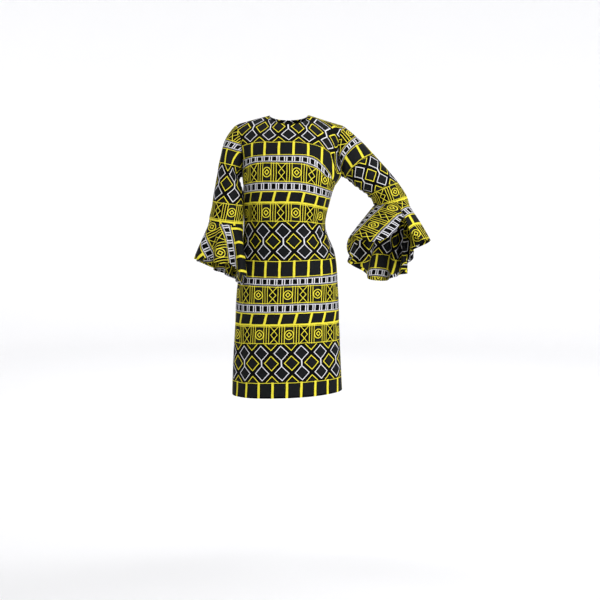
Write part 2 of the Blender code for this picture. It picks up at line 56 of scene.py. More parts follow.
# Cloth
CLOTH = 0.5  # thickness of every sheet
COLUMNS = 120  # quads across the front, and across the two halves of the back
SKIRT_ROWS = 150  # quads from the hem to the underarm
YOKE_ROWS = 60  # and from there to the shoulder
SLEEVE_ROWS = 80
FLOUNCE_ROWS = 48
FLOUNCE_SPLIT = 4  # columns of a flounce for each one of its sleeve
SMOOTH_UNDER = 70  # degrees; faces that meet at less look like one soft surface
HEM_LAYER = 1.3  # from a hem's outer face to the cloth that is turned in behind it
BODY_HEM = 25
NECK_HEM = 8
FLOUNCE_HEM = 6
ROLL_ANGLES = (135, 90, 45)  # degrees; where the roll of a hem has its rows
SEAM_TUCK = 1.1  # how far the cloth dips in at a seam
TUCK_SHARES = (1.0, 0.35)  # of that, at the seam's own row and at the one beside it
LONGEST_MITRE = 2.5  # sheets that meet at an angle share an offset of at most this many

NECK_SHARE = 0.42  # share of a panel's half-width that ends at the neckline

# The body's level sections, from the hem up. right and left are the half-widths from the
# middle, front and back the depths from the side seam; the armhole columns are the depth
# of the panel's edge, which is 0 at a side seam. turn is the angle that the panel turns
# through from its middle to its edge, power how square it is, and tilt how much higher
# the wearer's left is than the middle.
Level = namedtuple(
    "Level", "name z right left front back armhole_front armhole_back turn power tilt"
)
LEVELS = table(
    Level,
    ("hem", -879, 185, 172, 124, 124, 0, 0, 90, 0.80, 8),
    ("knee", -790, 182, 168, 124, 125, 0, 0, 90, 0.80, 6),
    ("thigh", -690, 176, 163, 123, 127, 0, 0, 90, 0.82, 6),
    ("hip", -550, 168, 158, 121, 131, 0, 0, 90, 0.84, 6),
    ("high_hip", -440, 154, 148, 117, 118, 0, 0, 90, 0.86, 4),
    ("waist", -345, 144, 117, 110, 96, 0, 0, 90, 0.88, 2),
    ("underbust", -268, 145, 131, 126, 100, 0, 0, 90, 0.80, 0),
    ("bust", -214, 145, 149, 141, 107, 0, 0, 90, 0.76, 0),
    ("underarm", -187, 147, 167, 139, 111, 0, 0, 90, 0.78, 2),
    ("chest", -140, 146, 161, 129, 112, 26, 44, 80, 0.86, 0),
    ("upper_chest", -90, 149, 156, 109, 104, 36, 50, 70, 0.95, 0),
)
UNDERARM = 8  # index of that row
CHEST = 10  # index of the last one

# The shoulder line and the neckline. Each point is (x, y, z), on the wearer's left.
NECK_SIDE = (61, 4, 6)
NECK_FRONT = (0, -62, -24)
NECK_BACK = (0, 60, -9)
SHOULDER_TIP_RIGHT = (-166, 6, -24)
SHOULDER_TIP_LEFT = (173, 8, -27)
YOKE_SHARE = 0.60  # how far up the yoke row lies between the upper chest and the top
YOKE_RISE = 15  # how far the yoke is rounded out there, on the shoulder
YOKE_RISE_NECK = 3  # and below the neckline
ROUNDING_FROM = 0.7  # share of the neckline's turn where the shoulder's rounding begins

# Soft folds on the body: a trough of that depth along a line from (turn, z) to (turn, z),
# where turn runs from -1 at the wearer's right side seam to 1 at the left one.
FOLD_EARLY = 0.25  # a fold begins this share of its length before the line
FOLD_FADE = 0.4  # and deepens over this share of it
CALM_EDGE = 0.08  # turns from a seam within which the folds die out
Fold = namedtuple("Fold", "panel turn_a z_a turn_b z_b width depth")
FOLDS = table(
    Fold,
    ("front", -0.72, -230, -0.50, -470, 0.16, 5),
    ("front", 0.96, -330, 0.45, -395, 0.13, 5),
    ("front", 0.98, -385, 0.55, -470, 0.12, 4),
    ("front", 0.80, -235, 0.55, -330, 0.14, 4),
    ("front", -0.62, -640, -0.70, -874, 0.16, 5),
    ("front", 0.52, -600, 0.60, -874, 0.18, 4),
    ("back", -0.55, -300, -0.42, -520, 0.15, 6),
    ("back", 0.55, -300, 0.40, -500, 0.15, 6),
    ("back", -0.30, -330, 0.30, -345, 0.30, 4),
    ("back", -0.50, -650, -0.55, -874, 0.18, 5),
    ("back", 0.46, -620, 0.50, -874, 0.18, 5),
)

# The sleeves' sections below the armhole. inner is the ring's end beside the body and
# outer the far one, both as (x, z); y is the depth of its middle and deep its half-depth.
Ring = namedtuple("Ring", "inner outer y deep")
RIGHT_RINGS = table(
    Ring,
    ((-154, -198), (-202, -72), 2, 52),
    ((-149, -222), (-218, -134), -10, 53),
    ((-143, -246), (-232, -205), -24, 53),
    ((-142, -288), (-243, -271), -32, 56),
    ((-143, -341), (-253, -327), -32, 59),
)
LEFT_RINGS = table(
    Ring,
    ((180, -197), (215, -62), 7, 52),
    ((207, -215), (263, -108), 11, 54),
    ((239, -240), (315, -166), 17, 53),
    ((260, -262), (357, -217), 23, 53),
    ((273, -279), (382, -258), 27, 53),
)

# Creases round a sleeve: a trough at that share of its length, from 0 at the armhole to 1
# at the flounce, centred at a turn from 0 beside the body, 0.25 in front, 0.5 outside.
Crease = namedtuple("Crease", "along turn spread width depth")
RIGHT_CREASES = table(
    Crease,
    (0.22, 0.06, 0.16, 0.07, 4),
    (0.62, 0.20, 0.20, 0.08, 3),
    (0.80, 0.70, 0.22, 0.07, 3),
)
LEFT_CREASES = table(
    Crease,
    (0.24, 0.05, 0.18, 0.07, 5),
    (0.72, 0.07, 0.17, 0.06, 6),
    (0.87, 0.06, 0.17, 0.05, 6),
    (0.55, 0.75, 0.20, 0.08, 3),
)

# The flounces' hems, one row for each crest or trough of their ruffle waves, in order
# round the arm from the side beside the body, through the front. bow is how far the cloth
# between the seam and that point stands out from the straight line.
Wave = namedtuple("Wave", "x y z bow")
RIGHT_WAVES = table(
    Wave,
    (-166, -30, -521, 4),
    (-140, -90, -519, 6),
    (-130, -108, -497, 6),
    (-148, -128, -484, 9),
    (-170, -106, -466, 5),
    (-186, -104, -452, 4),
    (-202, -132, -452, 9),
    (-228, -132, -450, 9),
    (-240, -98, -438, 4),
    (-256, -88, -438, 3),
    (-284, -86, -443, 3),
    (-300, -46, -444, 2),
    (-270, -22, -450, 3),
    (-274, -2, -455, 3),
    (-299, 24, -458, 3),
    (-284, 58, -468, 5),
    (-252, 42, -480, 3),
    (-242, 62, -486, 4),
    (-248, 100, -496, 9),
    (-216, 108, -506, 10),
    (-205, 66, -510, 4),
    (-192, 62, -515, 4),
    (-182, 90, -522, 8),
    (-163, 70, -525, 8),
    (-172, 28, -523, 3),
)
LEFT_WAVES = table(
    Wave,
    (184, -36, -402, 4),
    (196, -80, -368, 3),
    (226, -116, -376, 10),
    (262, -130, -384, 16),
    (300, -128, -374, 16),
    (334, -110, -350, 12),
    (358, -70, -316, 5),
    (371, -58, -316, 4),
    (380, -98, -358, 8),
    (414, -104, -378, 10),
    (446, -64, -384, 6),
    (442, -26, -396, 5),
    (392, -4, -424, 4),
    (388, 14, -434, 4),
    (404, 46, -448, 8),
    (396, 82, -466, 10),
    (368, 62, -476, 4),
    (364, 76, -486, 4),
    (390, 112, -508, 10),
    (368, 136, -514, 11),
    (346, 104, -520, 4),
    (338, 106, -522, 4),
    (324, 142, -535, 11),
    (264, 142, -530, 12),
    (252, 96, -506, 4),
    (240, 84, -496, 4),
    (214, 104, -484, 9),
    (190, 78, -466, 9),
    (204, 36, -450, 4),
    (192, 8, -436, 4),
)

# The bust darts, whose line is a row of the front. side is 1 on the wearer's left, tip
# the turn of the dart's point, tip_x its place and rise how far it lies over the line's
# end at the seam.
Dart = namedtuple("Dart", "side tip tip_x rise")
DARTS = table(
    Dart,
    (1, 0.40, 86, 40),
    (-1, 0.53, 105, 34),
)
DART_BELOW_UNDERARM = 34  # of the dart's end at the seam, along the panel
DART_ABOVE = 150  # the rows over the dart and under it spread over these lengths
DART_BELOW = 160
DART_OPENS = 18  # from the dart's point to where its groove is at its full depth
DART_FADE = 36  # how far over and under the line the cloth eases, inside the point
DART_GROOVE = 1.0
DART_ROWS = ((0, 1.0), (1, 0.4), (-1, 0.4))  # rows from the line, share of the groove

# How much further up the cloth lies than its plain length over the hem: middle is on the
# middle line, and each pair is how much more it is 70 and 140 mm from it, on the wearer's
# left and right, under the bust dart and over it.
Droop = namedtuple("Droop", "z middle left left_over right right_over")
DROOPS = table(
    Droop,
    (-886, 5, (0.5, 2), (0.5, 2), (0.5, 2), (0.5, 2)),
    (-777, 5, (0.8, 3), (0.8, 3), (0.2, 3), (0.2, 3)),
    (-702, 6, (1.2, 5), (1.2, 5), (-0.5, 1), (-0.5, 1)),
    (-665, 3, (1.0, 4), (1.0, 4), (-0.5, 1), (-0.5, 1)),
    (-590, 3, (1.5, 6), (1.5, 6), (0, 0), (0, 0)),
    (-515, 3, (0.8, 3), (0.8, 3), (-1.1, -3), (-1.1, -3)),
    (-477, 3, (-0.5, -2), (-0.5, -2), (-0.2, -1), (-0.2, -1)),
    (-449, 0.5, (0, 0), (0, 0), (-0.5, -2), (-0.5, -2)),
    (-402, 1, (3, 12), (3, 12), (-0.7, 1), (-0.7, 1)),
    (-346, 1.3, (5.5, 22), (5.5, 40), (-0.4, 2), (-0.4, 6)),
    (-309, 0.8, (6.8, 27), (6.8, 60), (0.9, 6), (0.9, 12)),
    (-271, -3.9, (8.4, 33), (8.4, 78), (0.1, 9), (0.1, 17)),
    (-253, -3, (8.4, 33), (9.6, 82), (0.1, 11), (0, 19)),
    (-225, -4, (8.4, 36), (9.2, 82), (0.8, 12), (0.4, 20)),
    (-197, -1.5, (8.4, 36), (9.2, 82), (-1.2, 11), (-1.2, 20)),
    (-178, -3.4, (8.4, 36), (9.2, 82), (-1.2, 12), (-1.2, 19)),
    (-159, -5, (8.4, 36), (10, 82), (-1.0, 12), (-1, 18)),
    (-140, -7, (8.4, 36), (10, 80), (-0.6, 12), (-0.6, 16)),
    (-112, -4, (8.4, 36), (3.4, 54), (1, 17), (1, 17)),
    (-84, -2, (8.4, 36), (9, 56), (0.9, 14), (0.9, 14)),
    (-56, 3, (8.4, 36), (9, 54), (0.9, 14), (0.9, 14)),
)
DROOP_AT = 140  # distance from the middle of the pairs' second number
DROOP_END = 152  # from there on it stays the same
BACK_DROOP = 0.5  # share of the front's side droop that the back has
PRINT_FOOT = 5  # from the hem to where the printed length is measured from
GRAIN_LEAN = 0.0285  # how far the grain leans towards the wearer's left, per height

# Lesser creases: (u, z) is the distance from the middle line and the height, bend how
# far the line bows sideways. Each has a trough, and a ridge on one side.
CreaseLine = namedtuple("CreaseLine", "panel start end bend width depth")
RIDGE_AWAY = 1.7  # of its width, from the trough to the ridge
RIDGE_SHARE = 0.5  # of its depth, for the ridge's height
CREASE_EARLY = 0.1  # a crease begins this share of its length before the line
CREASE_FADE = 0.45  # and deepens over this share of it
CREASE_LINES = table(
    CreaseLine,
    ("front", (118, -182), (66, -128), -5, 7, 2.2),
    ("front", (-128, -178), (-72, -138), 5, 7, 2.0),
    ("front", (150, -300), (58, -322), 6, 8, 2.4),
    ("front", (146, -348), (34, -352), -6, 9, 2.6),
    ("front", (150, -395), (70, -372), 5, 8, 2.0),
    ("front", (-150, -330), (-52, -350), 6, 9, 2.2),
    ("front", (-148, -372), (-64, -366), -5, 8, 1.8),
    ("front", (96, -430), (44, -600), 10, 15, 2.4),
    ("front", (-104, -450), (-58, -640), -10, 15, 2.2),
    ("front", (20, -520), (-18, -760), 12, 20, 1.8),
    ("front", (72, -92), (34, -60), 4, 8, 1.4),
    ("front", (-70, -90), (-36, -62), -4, 8, 1.4),
    ("back", (150, -330), (28, -352), 7, 9, 2.8),
    ("back", (-150, -326), (-34, -346), -7, 9, 2.8),
    ("back", (140, -380), (42, -380), 6, 9, 2.2),
    ("back", (-140, -376), (-38, -384), -6, 9, 2.4),
    ("back", (128, -186), (70, -140), -6, 8, 2.2),
    ("back", (-128, -184), (-74, -142), 6, 8, 2.2),
    ("back", (70, -470), (36, -690), 12, 16, 2.2),
    ("back", (-76, -460), (-30, -660), -12, 16, 2.2),
    ("back", (30, -90), (88, -70), 5, 9, 1.6),
    ("back", (-30, -92), (-86, -72), -5, 9, 1.6),
)

# Fine creases round the sleeves, in the words of the sleeve's own creases. slant is how
# far along the sleeve one moves for each turn round it.
FineCrease = namedtuple("FineCrease", "along turn spread slant width depth")
RIGHT_FINE = table(
    FineCrease,
    (0.10, 0.02, 0.16, 0.20, 0.030, 1.8),
    (0.34, 0.97, 0.18, -0.30, 0.034, 2.0),
    (0.48, 0.12, 0.15, 0.45, 0.030, 1.6),
    (0.70, 0.90, 0.18, 0.30, 0.032, 1.7),
    (0.88, 0.30, 0.16, -0.35, 0.030, 1.4),
    (0.55, 0.62, 0.15, 0.40, 0.040, 1.3),
)
LEFT_FINE = table(
    FineCrease,
    (0.12, 0.02, 0.15, -0.25, 0.030, 2.2),
    (0.36, 0.05, 0.18, 0.25, 0.032, 2.2),
    (0.52, 0.95, 0.18, -0.30, 0.032, 2.0),
    (0.64, 0.10, 0.20, 0.35, 0.030, 2.4),
    (0.80, 0.12, 0.20, -0.20, 0.026, 2.2),
    (0.93, 0.96, 0.16, 0.20, 0.024, 1.6),
    (0.06, 0.42, 0.05, 0.00, 0.045, 1.2),
    (0.07, 0.54, 0.05, 0.10, 0.045, 1.2),
)

CALM_END = 0.06  # share of a sleeve's length, at each end, where its creases die out

# The slight unevenness of the cloth: its height, then what sets its waves' lengths.
SLOW_WAVES = (0.9, 31, 57, 43, 37)
QUICK_WAVES = (0.35, 13, 29, 19)

# The places of the sleeves and flounces in the flat cloth. v is the height over the
# hem of the printed length. A flounce is two half rings: radius is that of its seam,
# angle the way that it starts in, and spread how far a whole turn would go. A sleeve ends
# at end_v, leans off the grain by lean for its length, and its bands drop beside the
# body. ease is how much of it is eased in at the armhole, and weft lists how much cloth
# goes round the arm, and how far it is moved along the weft, from a height v on.
SleeveFlat = namedtuple("SleeveFlat", "end_v lean drop_top drop_end ease weft")
DROP_POWER = 1.6  # how fast the drop fades round the arm
EASE_REACH = 0.22  # share of the sleeve's length that is eased into the armhole
RIGHT_SLEEVE_FLAT = SleeveFlat(618.5, 0, 0, 0, 0, [(0, 1, -3)])
LEFT_WEFT = [
    (428, 0.95, -18.5),
    (432, 1.056, 10.6),
    (549, 1.31, -12.7),
    (554, 1.10, 28.8),
]
LEFT_SLEEVE_FLAT = SleeveFlat(614.5, 0.30, 62, 12, 12, LEFT_WEFT)
HalfRing = namedtuple("HalfRing", "radius centre angle spread")
LEFT_FLAT = [
    HalfRing(87, (62, 411), 181.6, 225),
    HalfRing(87, (0, 705), 101, 225),
]
RIGHT_FLAT = [
    HalfRing(89, (-32, 395), 150, 197),
    HalfRing(89, (0, 560), 122, 197),
]

# All that makes a sleeve and its flounce; column is the body's column at its armhole.
Arm = namedtuple("Arm", "name column rings creases fine waves flat halves")
RIGHT_ARM = Arm(
    "right", 0, RIGHT_RINGS, RIGHT_CREASES, RIGHT_FINE, RIGHT_WAVES, RIGHT_SLEEVE_FLAT, RIGHT_FLAT
)
LEFT_ARM = Arm(
    "left", -1, LEFT_RINGS, LEFT_CREASES, LEFT_FINE, LEFT_WAVES, LEFT_SLEEVE_FLAT, LEFT_FLAT
)

# The zip
ZIP_LENGTH = 480
TAPE_WIDTH = 24
TAPE_BEND = 8  # from the seam to the points between the coil's edge and the tape's
TAPE_COLUMNS = 9  # columns of the back, from the seam, that the tape's form is read from
TAPE_BEHIND = 1.55  # from the panels' outer face to the tape's
TAPE_DROP = 3  # from the neck's edge to the tape's end
COIL_HALF = 3.0
COIL_RISE = 0.6  # of each loop's middle over its ends
COIL_WIRE = 0.35
COIL_SIDES = 5
COIL_STEPS = 6  # along each loop
COIL_SMOOTH_UNDER = 50
COIL_PITCH = 1.5
COIL_END = 6  # bare tape at each end

# The print. Its bands repeat up the cloth, here from the hem; start is how far along the
# weft a band begins and pitch how often its figure comes back.
Band = namedtuple("Band", "kind height start pitch")
BANDS = table(
    Band,
    ("squares", 51.0, -6.5, 45.6),
    ("lozenges", 121.5, -26, 64.2),
    ("circles", 55.5, -4.4, 95.5),
    ("slants", 40.0, 10, 48.4),
    ("beads", 29.0, 12.9, 24),
    ("circles", 56.0, -11.6, 95.5),
    ("beads", 26.0, 9.5, 24),
    ("squares", 51.0, 5.6, 45.6),
    ("lozenges", 121.5, -30.4, 65.5),
    ("circles", 55.5, 5.9, 94),
    ("slants", 40.0, 23.2, 45.6),
    ("beads", 29.0, 6.7, 24),
    ("circles", 56.0, 5.4, 94),
    ("beads", 26.0, 6.0, 24),
)
FIRST_ROW = 4  # the lowest squares go on down to the hem from there
SQUARES_HEIGHT = BANDS[0].height
LOZENGES_HEIGHT = BANDS[1].height
SLANTS_HEIGHT = BANDS[3].height
EDGE_IN = 2.4  # from a band's edge to the middle of its yellow line
EDGE_HALF = 0.9
OUTLINE = 2.6  # black left round a charcoal block
BAR_PITCH = 45.6
BAR_HALF = 3.7
SLANT_LEAN = 0.23  # how far the slants go sideways for each step up
SLANT_FOOT = 5.6  # thickness of the slants' lower line
BEAD_PITCH = 24
BEAD_HALF = 6.8  # half the width of a block in the strip of cells
BEAD_BAR_HALF = 2.1  # and of the bar between two blocks
BEAD_INSIDE = 5.2  # from the band's edge to the cells
BEAD_STRIP = 3.5  # and to the white strip round them
BEAD_LINE = 1.5  # and to the middle of the pale line
BEAD_LINE_HALF = 0.6
CIRCLE_PITCH = 94
CIRCLE_LINES = (14.5, 32.3)  # where the lines beside a circle begin and end
CIRCLE_LINE_PITCH = 8
CIRCLE_LINE_HALF = 0.95
RING = (12.0, 14.4)  # inner and outer radius of a circle
KERNEL = (5.2, 8.8)  # and of the small lozenge in it
BLOCK_END = 23  # from a circle's middle to the far side of the blocks over and under it
CROSS_WIDE = 10  # half-width of the small lozenge in the middle of a cross
CROSS_TALL = 11  # and its half-height, where the cross's arms begin
CROSS_OPENS = 0.9  # how far an arm goes sideways for each step up
CROSS_HALF = 1.3
LOZENGE_PITCH = 65.5
LOZENGE_LEAN = -0.07
LOZENGE_REACH = 23  # from a lozenge's middle to its points, along its outline's middle
LOZENGE_HALF = 1.8
LOZENGE_FILL = 16  # and to the points of the charcoal in it
LOZENGE_RISE = 32  # of the white lozenges' middles over and under the band's middle
LOZENGE_EDGE = 64  # and of the half lozenges' at the edges
LINK_HALF = 2  # the white lozenges are joined by a short upright line
LINK_RISE = 9

PITCHES = {
    "squares": BAR_PITCH,
    "lozenges": LOZENGE_PITCH,
    "circles": CIRCLE_PITCH,
    "slants": BAR_PITCH,
    "beads": BEAD_PITCH,
}

# Colours, linear
LEMON = (0.76, 0.67, 0.050, 1)
CHALK = (0.70, 0.70, 0.74, 1)
PALE = (0.24, 0.23, 0.28, 1)
INK = (0.0016, 0.0016, 0.0022, 1)
CHARCOAL = (0.0088, 0.0098, 0.0108, 1)
TAPE_BLACK = (0.012, 0.012, 0.014, 1)
ENAMEL_BLACK = (0.016, 0.016, 0.018, 1)
FLOOR_PALE = (0.86, 0.86, 0.87, 1)

# Noise: how many spots in a metre, and how many finer layers.
Noise = namedtuple("Noise", "scale detail")
HAND = Noise(34, 1)  # how a printed outline wavers
HAND_REACH = 2.4  # and how far
PATCHES = Noise(130, 4)  # where the paste took less
PATCHES_SPREAD = 0.6
PATCHES_LEAST = 0.66
SLUBS = Noise(420, 2)
RUBS = Noise(900, 2)
PAPER_GRAIN = Noise(3, 2)
PAPER_SPREAD = 0.05

# Weave: the threads' pitch, and what threads, slubs and the ground add to its height.
THREAD_PITCH = 0.55
THREADS_ADD = 0.35
SLUBS_ADD = 0.6
WEAVE_GROUND = 0.2
BUMP_HEIGHT = 0.00005  # metres
COTTON_BUMP = 0.5
TAPE_BUMP = 0.8

# Roughness: what noise and paste add to the plain one.
COTTON_ROUGH = 0.48
COTTON_SLUBS_ROUGH = 0.25
PASTE_ROUGH = 0.08
TAPE_ROUGH = 0.6
TAPE_SLUBS_ROUGH = 0.3
ENAMEL_ROUGH = 0.25
ENAMEL_RUBS_ROUGH = 0.2
PAPER_ROUGH = 0.9
CLOTH_LOOK = {"Specular IOR Level": 0.04, "Sheen Weight": 0.01, "Sheen Roughness": 0.4}

# Stage, in metres. The photograph is 600 pixels square; the middle of the neck is at
# MIDDLE_X and the shoulder line at SHOULDER_Y in it, and the camera is level with EYE_Y.
IMAGE_SIDE = 600
MIDDLE_X = 289
SHOULDER_Y = 119
EYE_Y = 146
METRES_PER_PIXEL = 0.00322
CAMERA_AWAY = 4.0
SENSOR = 36  # millimetres
FLOOR_Z = -1.436
FLOOR_FLAT = 4.5  # radius of the level floor
FLOOR_REACH = 7.5  # from the middle to each edge of the backdrop
FLOOR_RISE = 0.55  # how steeply it rises out there
FLOOR_QUADS = 60
WORLD_STRENGTH = 0.56
Lamp = namedtuple("Lamp", "name place aim size power")
DRESS_MIDDLE = (0.04, 0, -0.5)
LAMPS = (
    Lamp("key", (2.0, -3.0, 0.8), DRESS_MIDDLE, 1.3, 104),
    Lamp("top", (0.4, 0.2, 2.6), DRESS_MIDDLE, 2.6, 22),
    Lamp("backdrop_right", (2.2, 0.9, 2.4), (0.6, 6, 0), 2.4, 88),
    Lamp("backdrop_left", (-2.2, 0.9, 2.4), (-0.6, 6, 0), 2.4, 88),
)


def unit(vectors):
    """The vectors, each with length 1."""
    length = np.linalg.norm(vectors, axis=-1, keepdims=True)
    return vectors / np.maximum(length, TINY)


def smooth_step(share):
    """0 up to a share of 0 and 1 from 1 on, with a soft way between them."""
    share = np.clip(share, 0, 1)
    return share * share * (3 - 2 * share)


def through(knots, values, at):
    """A smooth curve through values at knots, read at other places. Each knot's slope is
    that of the parabola through it and its two neighbours."""
    knots = np.asarray(knots, float)
    values = np.asarray(values, float)
    step = np.diff(knots)
    spread = (-1,) + (1,) * (values.ndim - 1)
    chord = np.diff(values, axis=0) / step.reshape(spread)
    before = step[:-1].reshape(spread)
    after = step[1:].reshape(spread)
    inner = (chord[:-1] * after + chord[1:] * before) / (before + after)
    slope = np.concatenate([2 * chord[:1] - inner[:1], inner, 2 * chord[-1:] - inner[-1:]])
    at = np.asarray(at, float)
    i = np.clip(np.searchsorted(knots, at, side="right") - 1, 0, len(step) - 1)
    w = ((at - knots[i]) / step[i]).reshape(spread)
    h = step[i].reshape(spread)
    return (
        (2 * w**3 - 3 * w**2 + 1) * values[i]
        + (w**3 - 2 * w**2 + w) * h * slope[i]
        + (3 * w**2 - 2 * w**3) * values[i + 1]
        + (w**3 - w**2) * h * slope[i + 1]
    )


def distances(points):
    """How far along a line of points, or along each column of a grid, each one lies."""
    steps = np.linalg.norm(np.diff(points, axis=0), axis=-1)
    return np.concatenate([np.zeros((1,) + steps.shape[1:]), np.cumsum(steps, axis=0)])


def distances_across(grid):
    """How far along its row each point of a grid lies."""
    return distances(grid.swapaxes(0, 1)).T


def row_knots(keys):
    """How far along a sheet each row of key points lies, by the mean of its columns."""
    spans = np.linalg.norm(np.diff(keys, axis=0), axis=2).mean(axis=1)
    return np.concatenate([[0], np.cumsum(spans)])


def point_at(place, knots, points):
    """The point at a place along a line of points whose own places are the knots."""
    return np.array([np.interp(place, knots, points[:, axis]) for axis in range(3)])


def finer_ring(ring, split):
    """A closed ring of points with split of them for each one, on straight lines."""
    share = (np.arange(len(ring) * split) % split / split)[:, None]
    first = np.repeat(ring, split, axis=0)
    return first + share * (np.repeat(np.roll(ring, -1, axis=0), split, axis=0) - first)


def from_turn(turns, centre):
    """How far round a ring the turns lie from a centre, from -0.5 to 0.5."""
    return (turns - centre + 0.5) % 1 - 0.5


def level_row(level, turns, panel):
    """The points of one panel at a level, for turns from -1 to 1 across it."""
    depth, edge, side = {
        "front": (level.front, level.armhole_front, -1),
        "back": (level.back, level.armhole_back, 1),
    }[panel]
    most = math.radians(level.turn)
    across = np.sin(most * turns) / math.sin(most)
    inward = (np.cos(most * turns) - math.cos(most)) / (1 - math.cos(most))
    inward = np.clip(inward, 0, 1) ** level.power
    half = np.where(turns < 0, level.right, level.left)
    away = side * (edge + (depth - edge) * inward)
    return np.stack([half * across, away, level.z + level.tilt * across], axis=1)


def top_row(turns, panel):
    """The shoulder line, and between its two sides the neckline."""
    middle = np.array({"front": NECK_FRONT, "back": NECK_BACK}[panel], float)
    rows = []
    for turn in turns:
        way = -1 if turn < 0 else 1
        neck = np.array([way * NECK_SIDE[0], NECK_SIDE[1], NECK_SIDE[2]], float)
        if abs(turn) >= NECK_SHARE:
            tip = np.array(SHOULDER_TIP_RIGHT if way < 0 else SHOULDER_TIP_LEFT, float)
            rows.append(neck + (tip - neck) * (abs(turn) - NECK_SHARE) / (1 - NECK_SHARE))
            continue
        angle = math.pi / 2 * abs(turn) / NECK_SHARE
        point = neck + (middle - neck) * math.cos(angle)
        point[0] = neck[0] * math.sin(angle)
        rows.append(point)
    return np.array(rows)


def yoke_row(chest, top, turns, panel):
    """The row between the upper chest and the top, rounded out over the shoulder."""
    on_shoulder = smooth_step((np.abs(turns) - NECK_SHARE / 2) / (NECK_SHARE / 2))
    rise = YOKE_RISE_NECK + (YOKE_RISE - YOKE_RISE_NECK) * on_shoulder
    out = unit(np.array([0, -1.0 if panel == "front" else 1.0, 1.0]))
    return chest + (top - chest) * YOKE_SHARE + rise[:, None] * out


def panel_turns():
    """Turns across a body panel, from the wearer's right side seam to the left one."""
    half = COLUMNS // 2
    on_neck = half // 2
    shoulder = np.linspace(1, NECK_SHARE, half - on_neck + 1)
    neck = np.linspace(NECK_SHARE, 0, on_neck + 1)[1:]
    right = -np.concatenate([shoulder, neck])
    return np.concatenate([right, -right[::-1][1:]])


def dart_lift(turns):
    """How far the rows near the bust dart are lifted, so that one row follows it down
    from its tip towards the side seam."""
    lift = np.zeros(len(turns))
    for dart in DARTS:
        away = turns * dart.side
        rise = smooth_step(away / dart.tip)
        fall = np.clip((1 - away) / (1 - dart.tip), 0, 1)
        lift += np.where(away > dart.tip, fall, rise) * dart.rise * (away > 0)
    return lift


def panel_keys(turns, panel):
    """The panel's rows of key points, and how far along its length each row lies."""
    rows = [level_row(level, turns, panel) for level in LEVELS]
    other = "back" if panel == "front" else "front"
    top = top_row(turns, panel)
    yoke = yoke_row(rows[-1], top, turns, panel)
    chest_over = level_row(LEVELS[-1], turns, other)
    over = yoke_row(chest_over, top_row(turns, other), turns, other)
    beyond = 2 * top - yoke
    rounding = NECK_SHARE * ROUNDING_FROM
    on_shoulder = smooth_step((np.abs(turns) - rounding) / (NECK_SHARE - rounding))
    beyond = beyond + (over - beyond) * on_shoulder[:, None]
    keys = np.array(rows + [yoke, top, beyond])
    return keys, row_knots(keys)


def panel_sheet(turns, panel):
    """A body panel before its edges are finished: its points row by row from the hem,
    their places in the flat cloth under the dart's line and over it, and its row."""
    keys, knots = panel_keys(turns, panel)
    skirt = np.linspace(0, knots[UNDERARM], SKIRT_ROWS + 1)
    yoke = np.linspace(knots[UNDERARM], knots[-2], YOKE_ROWS + 1)[1:]
    level = np.concatenate([skirt, yoke])
    plain = through(knots, keys, level)
    at = np.repeat(level[:, None], len(turns), axis=1)
    dart_row = int(np.argmin(np.abs(level - knots[UNDERARM] + DART_BELOW_UNDERARM)))
    if panel == "front":
        reach = np.where(level < level[dart_row], DART_BELOW, DART_ABOVE)
        away = (level - level[dart_row]) / reach
        at += dart_lift(turns) * np.clip(1 - np.abs(away), 0, 1)[:, None]
    grid = np.stack([through(knots, keys[:, c], at[:, c]) for c in range(len(turns))], axis=1)
    grid[-1] = keys[-2]

    middle = int(np.argmin(np.abs(turns)))
    across = distances_across(plain)
    across -= across[:, middle : middle + 1]
    up_middle = distances(plain[:, middle]) - PRINT_FOOT
    chest = knots[CHEST]
    u = np.stack([np.interp(at[:, c], level, across[:, c]) for c in range(len(turns))], axis=1)
    v = np.interp(np.minimum(at, chest), level, up_middle)
    lengths = distances(grid)
    for column in range(len(turns)):
        at_chest = np.interp(chest, at[:, column], lengths[:, column])
        v[:, column] += np.maximum(lengths[:, column] - at_chest, 0)
    over = at - level[dart_row] - (dart_lift(turns) if panel == "front" else 0)
    cuts = []
    for above in (False, True):
        print_v = v + droop(grid, panel, over, above)
        cuts.append(np.stack([u - GRAIN_LEAN * print_v, print_v], axis=2))

    normals = grid_normals(grid, panel_way(panel))
    edges = smooth_step((1 - np.abs(turns)) / CALM_EDGE)
    height = np.zeros(grid.shape[:2])
    for row, points in enumerate(grid):
        height[row] -= fold_depth(points, turns, panel) * edges
    height += soft_creases(u, grid[..., 2], panel) * edges
    height += cloth_waves(grid) * edges
    grid = grid + normals * height[..., None]
    return grid, cuts, dart_row


def fold_depth(points, turns, panel):
    """How far the cloth sinks in the main folds at each point of a row of the panel."""
    sunk = np.zeros(len(points))
    for fold in FOLDS:
        if fold.panel != panel:
            continue
        along = (points[:, 2] - fold.z_a) / (fold.z_b - fold.z_a)
        centre = fold.turn_a + (fold.turn_b - fold.turn_a) * np.clip(along, 0, 1)
        ends = smooth_step((along + FOLD_EARLY) / FOLD_FADE)
        if fold.z_b > LEVELS[0].z:
            ends = ends * smooth_step((1 + FOLD_EARLY - along) / FOLD_FADE)
        sunk += fold.depth * ends * np.exp(-(((turns - centre) / fold.width) ** 2))
    return sunk


